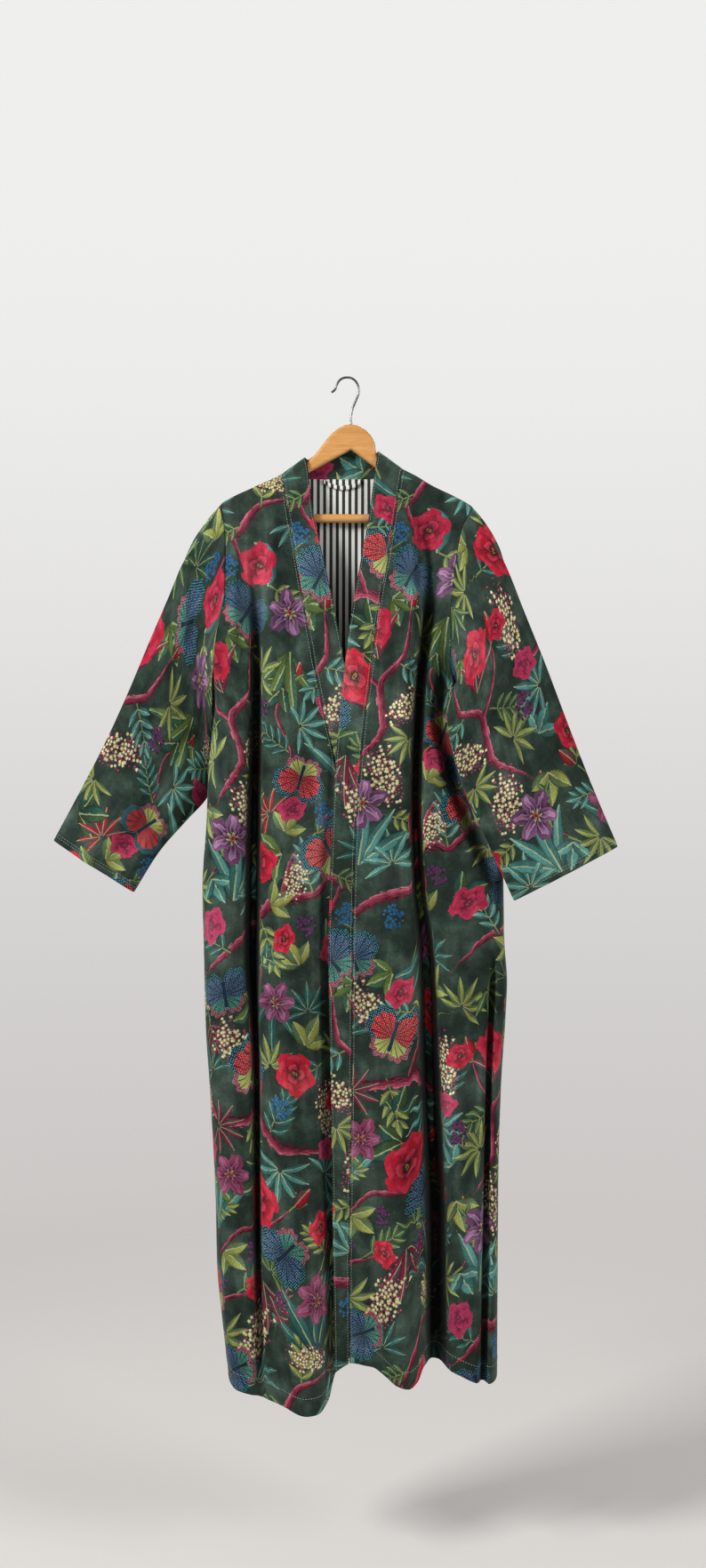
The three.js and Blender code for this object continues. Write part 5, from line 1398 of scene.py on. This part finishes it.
# %% Blossom and berries
cluster, given, result = new_group("cluster", LAYER_SOCKETS)
tone = add_node(cluster, SPLIT, [given["Place"]]).outputs[2]
flat = add_node(cluster, VECTOR_MATH, [given["Place"], (1, 1, 0)], operation="MULTIPLY")
berry = add_node(cluster, MATH, [tone, 0.25], operation="GREATER_THAN")
blue = add_node(cluster, MATH, [tone, 0.75], operation="GREATER_THAN")
slim = add_node(cluster, REMAP, [tone, 0.0, 0.5, 1.9, 1.15])
aspect = add_node(cluster, "ShaderNodeCombineXYZ", [slim, 1.0])
paint = given["Under"]
for shift, crowds, sizes, first, second, fruit_shade in (
        (0.0, (13.0, 3.6), (0.26, 0.40), "#a02850", "#c8487a", "#3b1c40"),
        (3.7, (9.5, 3.6), (0.36, 0.56), "#d9cf92", "#e9e3b4", "#6a3566")):
    crowd = add_node(cluster, REMAP, [tone, 0.0, 0.5, crowds[0], crowds[1]])
    moved = add_node(cluster, VECTOR_MATH, [flat, (shift, shift, 0)], operation="ADD")
    dots = add_node(cluster, "ShaderNodeTexVoronoi", {"Vector": moved, "Scale": crowd, "Randomness": 0.8},
        voronoi_dimensions="2D")
    home = add_node(cluster, VECTOR_MATH, [dots.outputs["Position"], (shift, shift, 0)], operation="SUBTRACT")
    spot = add_node(cluster, VECTOR_MATH, [add_node(cluster, VECTOR_MATH, [home, aspect],
        operation="MULTIPLY")], operation="LENGTH")
    chance = add_node(cluster, "ShaderNodeSeparateColor", [dots.outputs["Color"]])
    ragged = add_node(cluster, REMAP, [chance.outputs[1], 0, 1, 0.45, 0.98])
    chosen = add_node(cluster, MATH, [spot, ragged], operation="LESS_THAN")
    local = add_node(cluster, SPLIT, [add_node(cluster, VECTOR_MATH, [flat, home], operation="SUBTRACT")])
    round_it = add_node(cluster, MATH, [local.outputs[1], local.outputs[0]], operation="ARCTAN2")
    wave = add_node(cluster, MATH, [add_node(cluster, MATH, [round_it, 5.0], operation="MULTIPLY")],
        operation="COSINE")
    petal = add_node(cluster, REMAP, [wave, -1.0, 1.0, 0.62, 1.0])
    smooth_rim = add_node(cluster, MATH, [petal, berry], operation="MAXIMUM")
    dot_size = add_node(cluster, REMAP, [chance.outputs[2], 0, 1, sizes[0], sizes[1]])
    reach = add_node(cluster, MATH, [dot_size, smooth_rim], operation="MULTIPLY")
    dot = add_node(cluster, MATH, [dots.outputs["Distance"], reach], operation="LESS_THAN")
    drawn = add_node(cluster, MATH, [dot, chosen], operation="MULTIPLY")
    blossom = add_node(cluster, MIX, [chance.outputs[0], hex_colour(first), hex_colour(second)],
        data_type="RGBA")
    fruit = add_node(cluster, MIX, [blue, hex_colour(fruit_shade), hex_colour("#2d6690")], data_type="RGBA")
    body = add_node(cluster, MIX, [berry, blossom, fruit], data_type="RGBA")
    rim = add_node(cluster, REMAP, [dots.outputs["Distance"], 0.04, 0.5, 1.2, 0.5])
    shaded = add_node(cluster, VECTOR_MATH, [body, rim], operation="SCALE")
    paint = add_node(cluster, MIX, [drawn, paint, shaded], data_type="RGBA").outputs[2]
cluster.links.new(paint, result)

# %% Butterfly
butterfly, given, result = new_group("butterfly", LAYER_SOCKETS)
parts = add_node(butterfly, SPLIT, [given["Place"]])
wing_x = add_node(butterfly, MATH, [parts.outputs[0]], operation="ABSOLUTE")
tone = parts.outputs[2]
folded = add_node(butterfly, "ShaderNodeCombineXYZ", [wing_x, parts.outputs[1], 0.0])
radius = add_node(butterfly, VECTOR_MATH, [folded], operation="LENGTH")
angle = add_node(butterfly, MATH, [parts.outputs[1], wing_x], operation="ARCTAN2")
scales = add_node(butterfly, "ShaderNodeTexVoronoi", {"Vector": folded, "Scale": 17.0, "Randomness": 0.35},
    voronoi_dimensions="2D")
paint = given["Under"]
for lean, reach, narrow, inner_a, inner_b, margin in (
        (-0.82, 0.74, 1.55, "#a4ad58", "#2f7a70", "#a8162c"),
        (0.58, 1.0, 1.45, "#b01430", "#1d4a70", "#14202e")):
    off = add_node(butterfly, MATH, [add_node(butterfly, MATH, [angle, lean], operation="SUBTRACT"), narrow],
        operation="MULTIPLY")
    open_way = add_node(butterfly, MATH, [add_node(butterfly, MATH, [off], operation="COSINE"), 0.0],
        operation="MAXIMUM")
    in_turn = add_node(butterfly, MATH, [off, 0.0, 1.57], operation="COMPARE")
    lobe = add_node(butterfly, MATH, [add_node(butterfly, MATH, [open_way, 0.42], operation="POWER"),
        in_turn], operation="MULTIPLY")
    ripple = add_node(butterfly, MATH, [add_node(butterfly, MATH,
        [add_node(butterfly, MATH, [angle, 17.0], operation="MULTIPLY")], operation="SINE"), 0.035, reach],
        operation="MULTIPLY_ADD")
    edge = add_node(butterfly, MATH, [lobe, ripple], operation="MULTIPLY")
    drawn = add_node(butterfly, MATH, [radius, edge], operation="LESS_THAN")
    share = add_node(butterfly, MATH, [radius, edge], operation="DIVIDE")
    vein = add_node(butterfly, MATH, [add_node(butterfly, MATH,
        [add_node(butterfly, MATH, [angle, 2.9], operation="MULTIPLY")], operation="FRACT"), 0.13],
        operation="LESS_THAN")
    spotted = add_node(butterfly, MATH, [scales.outputs["Distance"], 0.3], operation="LESS_THAN")
    field = add_node(butterfly, MIX, [tone, hex_colour(inner_a), hex_colour(inner_b)], data_type="RGBA")
    flecks = add_node(butterfly, MATH, [add_node(butterfly, MATH, [scales.outputs["Distance"], 0.17],
        operation="LESS_THAN"), 0.75], operation="MULTIPLY")
    field = add_node(butterfly, MIX, [flecks, field, hex_colour("#d8d4a2")], data_type="RGBA")
    glow = add_node(butterfly, REMAP, [share, 0.0, 0.8, 0.45, 1.1])
    field = add_node(butterfly, VECTOR_MATH, [field, glow], operation="SCALE")
    veined = add_node(butterfly, MIX, [vein, field, hex_colour("#1d1a26")], data_type="RGBA")
    hem = add_node(butterfly, MATH, [share, 0.8], operation="GREATER_THAN")
    border = add_node(butterfly, MIX, [spotted, hex_colour(margin), hex_colour("#4f9aa6")], data_type="RGBA")
    wing = add_node(butterfly, MIX, [hem, veined, border], data_type="RGBA")
    paint = add_node(butterfly, MIX, [drawn, paint, wing], data_type="RGBA")
long = add_node(butterfly, MATH, [parts.outputs[1], 0.02, 0.42], operation="COMPARE")
slim = add_node(butterfly, MATH, [wing_x, 0.055], operation="LESS_THAN")
body = add_node(butterfly, MATH, [long, slim], operation="MULTIPLY")
paint = add_node(butterfly, MIX, [body, paint, hex_colour("#122a3c")], data_type="RGBA")
butterfly.links.new(paint.outputs[2], result)

# %% [markdown]
# ## Printed velvet
# Cotton velvet is woven with a short upright pile. Seen straight on it drinks the light, and
# where the pile leans or the cloth turns away it shines: sheen does that. The print lies in
# the pile, so its colours are deep and a little uneven. The pile is finer than any pixel here,
# so it is drawn coarser, as a soft nap of about 3 mm.

# %% Velvet material
velvet_material, tree, surface = new_material("printed_cotton_velvet")
cut = add_node(tree, "ShaderNodeUVMap", uv_map="cut")
cloud = add_node(tree, NOISE, {"Vector": cut, "Scale": 26.0, "Detail": 4.0, "Roughness": 0.6})
ground = add_node(tree, "ShaderNodeValToRGB", [cloud])
set_ramp(ground, (0.30, "#18241d"), (0.50, "#2a3a31"), (0.70, "#43584c"))
paint = ground
for layer, group in (("twigs", twig), *((f"leaves_{i}", leaf) for i in range(LEAF_LAYERS)),
                     ("clusters", cluster), ("lilies", lily),
                     ("rosettes", rosette), ("butterflies", butterfly)):
    place = add_node(tree, "ShaderNodeAttribute", attribute_name=layer, attribute_type="GEOMETRY")
    paint = add_node(tree, GROUP, {"Place": place.outputs["Vector"], "Under": paint}, node_tree=group)
nap = add_node(tree, NOISE, {"Vector": cut, "Scale": 330.0, "Detail": 2.0})
brushed = add_node(tree, NOISE, {"Vector": cut, "Scale": 8.0, "Detail": 3.0, "Distortion": 0.4})
stroked = add_node(tree, VECTOR_MATH, [cut, (1.0, 0.12, 1.0)], operation="MULTIPLY")
strokes = add_node(tree, NOISE, {"Vector": stroked, "Scale": 75.0, "Detail": 2.0})
lifted = add_node(tree, MATH, [brushed, add_node(tree, MATH, [strokes, 0.35], operation="MULTIPLY")],
    operation="ADD")
# Painted sheen: pale grey-green is mixed into the colour where the brushed noise is high, standing in for
# pile that catches the light.
painted_sheen_share = add_node(tree, REMAP, [lifted, 0.66, 0.9, 0.0, 0.09])
with_painted_sheen = add_node(tree, MIX, [painted_sheen_share, paint.outputs[0], hex_colour("#9aa8a0")], data_type="RGBA")
pile = add_node(tree, REMAP, [lifted, 0.5, 0.9, 0.5, 1.08])
grain = add_node(tree, REMAP, [nap, 0.3, 0.7, 0.84, 1.16])
tone = add_node(tree, MATH, [pile, grain], operation="MULTIPLY")
# Painted shade: the colour is darkened in the fold valleys, to about an eighth where they are deepest.
valley = add_node(tree, "ShaderNodeAttribute", attribute_name="valley", attribute_type="GEOMETRY")
painted_valley_shade = add_node(tree, REMAP, [valley.outputs["Fac"], 0.08, 0.75, 1.0, 0.12])
tone = add_node(tree, MATH, [tone, painted_valley_shade], operation="MULTIPLY")
dyed_with_painted_sheen_and_shade = add_node(tree, VECTOR_MATH, [with_painted_sheen, tone], operation="SCALE")
tree.links.new(dyed_with_painted_sheen_and_shade.outputs[0], surface.inputs["Base Color"])
surface.inputs["Roughness"].default_value = 0.9
surface.inputs["Specular IOR Level"].default_value = 0.2
surface.inputs["Sheen Weight"].default_value = 0.32
surface.inputs["Sheen Roughness"].default_value = 0.3
surface.inputs["Sheen Tint"].default_value = hex_colour("#cdd8d2")
bump = add_node(tree, "ShaderNodeBump", {"Height": nap, "Strength": 0.3, "Distance": 0.0006})
tree.links.new(bump.outputs[0], surface.inputs["Normal"])

# %% [markdown]
# ## Lining, thread, wood and steel
# The lining is a plain-woven cotton with dark stripes about 4.6 mm wide, one every 9.4 mm.
# Its threads are finer than a pixel, so the weave is drawn at 1.2 mm. The hanger is sawn
# beech under a thin clear varnish: long pale grain and a soft gloss. The hook is drawn steel
# wire, a little dulled by handling.

# %% Lining material
lining_material, tree, surface = new_material("striped_woven_cotton")
STRIPE, DARK, WEAVE = 9.4 * MM, 4.6 * MM, 1.2 * MM
uv = add_node(tree, "ShaderNodeUVMap", uv_map="cut")
split = add_node(tree, SPLIT, [uv])
frayed = add_node(tree, NOISE, {"Vector": uv, "Scale": 900.0})
wander = add_node(tree, MATH, [frayed, 0.5 * MM, split.outputs[0]], operation="MULTIPLY_ADD")
turn = add_node(tree, MATH, [wander, STRIPE], operation="FLOORED_MODULO")
middle = add_node(tree, MATH, [turn, STRIPE / 2], operation="SUBTRACT")
off = add_node(tree, MATH, [middle], operation="ABSOLUTE")
dark = add_node(tree, REMAP, [off, DARK / 2 - 0.2 * MM, DARK / 2 + 0.2 * MM, 1.0, 0.0])
striped = add_node(tree, MIX, [dark, hex_colour("#e4e6df"), hex_colour("#1f211c")], data_type="RGBA")
weft, warp = [add_node(tree, "ShaderNodeTexWave", {"Vector": uv, "Scale": 2 * math.pi / 20 / WEAVE,
    "Distortion": 0.6, "Detail": 1.0}, bands_direction=axis) for axis in ("X", "Y")]
woven = add_node(tree, MATH, [weft.outputs["Fac"], warp.outputs["Fac"]], operation="MULTIPLY")
thready = add_node(tree, REMAP, [woven, 0, 1, 0.86, 1.0])
soft = add_node(tree, VECTOR_MATH, [striped, thready], operation="SCALE")
tree.links.new(soft.outputs[0], surface.inputs["Base Color"])
surface.inputs["Roughness"].default_value = 0.85
surface.inputs["Sheen Weight"].default_value = 0.1
bump = add_node(tree, "ShaderNodeBump", {"Height": woven, "Strength": 0.35, "Distance": 0.0003})
tree.links.new(bump.outputs[0], surface.inputs["Normal"])

# %% Thread material
thread_material.use_nodes = True
tree = thread_material.node_tree
surface = tree.nodes["Principled BSDF"]
spot = add_node(tree, "ShaderNodeTexCoord")
ply = add_node(tree, NOISE, {"Vector": spot.outputs["Object"], "Scale": 800.0})
tinted = add_node(tree, MIX, [ply, hex_colour("#6f7f70"), hex_colour("#a9b5a6")], data_type="RGBA")
tree.links.new(tinted.outputs[2], surface.inputs["Base Color"])
surface.inputs["Roughness"].default_value = 0.6

# %% Wood material
wood_material, tree, surface = new_material("varnished_beech")
spot = add_node(tree, "ShaderNodeTexCoord")
drawn_out = add_node(tree, "ShaderNodeMapping", {"Vector": spot.outputs["Object"], "Scale": (0.09, 0.7, 1.0)})
years = add_node(tree, NOISE, {"Vector": drawn_out, "Scale": 150.0, "Detail": 4.0, "Distortion": 0.7})
pores_at = add_node(tree, "ShaderNodeMapping", {"Vector": spot.outputs["Object"], "Scale": (0.05, 1.0, 1.0)})
pores = add_node(tree, NOISE, {"Vector": pores_at, "Scale": 1100.0, "Detail": 2.0})
shade = add_node(tree, "ShaderNodeValToRGB", [years])
set_ramp(shade, (0.28, "#bb8142"), (0.50, "#c98f4e"), (0.74, "#d49f60"))
fleck = add_node(tree, REMAP, [pores, 0.3, 0.45, 0.82, 1.0])
grained = add_node(tree, VECTOR_MATH, [shade, fleck], operation="SCALE")
tree.links.new(grained.outputs[0], surface.inputs["Base Color"])
gloss = add_node(tree, REMAP, [years, 0, 1, 0.36, 0.5])
tree.links.new(gloss.outputs[0], surface.inputs["Roughness"])
surface.inputs["Coat Weight"].default_value = 0.35
surface.inputs["Coat Roughness"].default_value = 0.2
bump = add_node(tree, "ShaderNodeBump", {"Height": pores, "Strength": 0.15, "Distance": 0.0004})
tree.links.new(bump.outputs[0], surface.inputs["Normal"])

# %% Steel material
steel_material, tree, surface = new_material("drawn_steel_wire")
spot = add_node(tree, "ShaderNodeTexCoord")
handled = add_node(tree, NOISE, {"Vector": spot.outputs["Object"], "Scale": 220.0, "Detail": 3.0})
dulled = add_node(tree, REMAP, [handled, 0.3, 0.7, 0.24, 0.46])
tree.links.new(dulled.outputs[0], surface.inputs["Roughness"])
tint = add_node(tree, MIX, [handled, hex_colour("#5c5d60"), hex_colour("#8a8c90")], data_type="RGBA")
tree.links.new(tint.outputs[2], surface.inputs["Base Color"])
surface.inputs["Metallic"].default_value = 1.0

# %% Every piece on its body
LOOP_CUT = (0.063, 0.010)
for node, (piece, pattern, inside, (area, spread)) in cloth.items():
    lined = node in ("back_lining", "hanging_loop")
    piece.data.materials.append(lining_material if lined else velvet_material)
    piece.data.materials.append(velvet_material if node.startswith("band") else lining_material)
    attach(piece, "root")
    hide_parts(node)
    flat = (float(spread[0]), float(spread[1])) if node != "hanging_loop" else LOOP_CUT
hanger_wood.data.materials.append(wood_material)
hanger_bar.data.materials.append(wood_material)
hanger_hook.data.materials.append(steel_material)
for piece, node, slot in ((hanger_wood, "hanger_wood", "wood"), (hanger_bar, "hanger_bar", "wood"),
                          (hanger_hook, "hanger_hook", "hook")):
    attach(piece, "root")
    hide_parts(node)
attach(topstitching, "root")

# %% [markdown]
# ## Room
# A pale round floor lies well below the hem and fades out towards its rim, so that no horizon
# cuts the picture. The room's light is soft and low; a large window to the upper left gives
# the folds their shape, and a weaker one on the right keeps the shadows open.

# %% Floor
FLOOR_Z, FLOOR_RADIUS = -1.74, 2.6
turns = np.linspace(0, 2 * math.pi, 96, endpoint=False)
rim = [(FLOOR_RADIUS * math.cos(turn), FLOOR_RADIUS * math.sin(turn), FLOOR_Z) for turn in turns]
floor_mesh = bpy.data.meshes.new("floor")
floor_mesh.from_pydata(rim, [], [tuple(range(96))])
floor = placed("floor", floor_mesh)
floor_material, tree, surface = new_material("pale_floor")
spot = add_node(tree, "ShaderNodeTexCoord")
flat = add_node(tree, VECTOR_MATH, [spot.outputs["Object"], (1, 1, 0)], operation="MULTIPLY")
away = add_node(tree, VECTOR_MATH, [flat], operation="LENGTH")
fading = add_node(tree, REMAP, [away, 0.7, FLOOR_RADIUS - 0.1, 1.0, 0.0], interpolation_type="SMOOTHSTEP")
tree.links.new(fading.outputs[0], surface.inputs["Alpha"])
surface.inputs["Base Color"].default_value = hex_colour("#c9c6c3")
surface.inputs["Roughness"].default_value = 0.9
floor_mesh.materials.append(floor_material)

# %% World
world = bpy.data.worlds.new("room")
bpy.context.scene.world = world
world.use_nodes = True
tree = world.node_tree
tree.nodes.clear()
direction = add_node(tree, SPLIT, [add_node(tree, "ShaderNodeTexCoord").outputs["Generated"]])
height = add_node(tree, REMAP, [direction.outputs[2], -0.3, 0.35], interpolation_type="SMOOTHSTEP")
wall = add_node(tree, MIX, [height, hex_colour("#cbc8c6"), hex_colour("#efefee")], data_type="RGBA")
seen = add_node(tree, "ShaderNodeBackground", [wall, 1.0])
lighting = add_node(tree, "ShaderNodeBackground", [hex_colour("#eceae8"), 0.34])
ray = add_node(tree, "ShaderNodeLightPath")
either = add_node(tree, "ShaderNodeMixShader", [ray.outputs["Is Camera Ray"], lighting.outputs[0],
    seen.outputs[0]])
tree.links.new(either.outputs[0], tree.nodes.new("ShaderNodeOutputWorld").inputs["Surface"])


# %% Lights
def soft_light(name, at, aim, size, power):
    data = bpy.data.lights.new(name, "AREA")
    data.size = size
    data.energy = power
    light = placed(name, data)
    light.location = at
    direction = np.array(aim) - np.array(at)
    tilt = math.atan2(math.hypot(direction[0], direction[1]), -direction[2])
    light.rotation_euler = (tilt, 0, math.atan2(-direction[0], direction[1]))


soft_light("window", (-2.3, -1.5, 0.9), (0, 0, -0.7), 0.8, 112)
soft_light("fill", (2.5, -1.4, 0.5), (0, 0, -0.8), 1.2, 52)
soft_light("behind", (0.6, 2.6, 0.9), (0, 0, -0.7), 1.4, 40)
bpy.context.scene.view_settings.view_transform = "Standard"
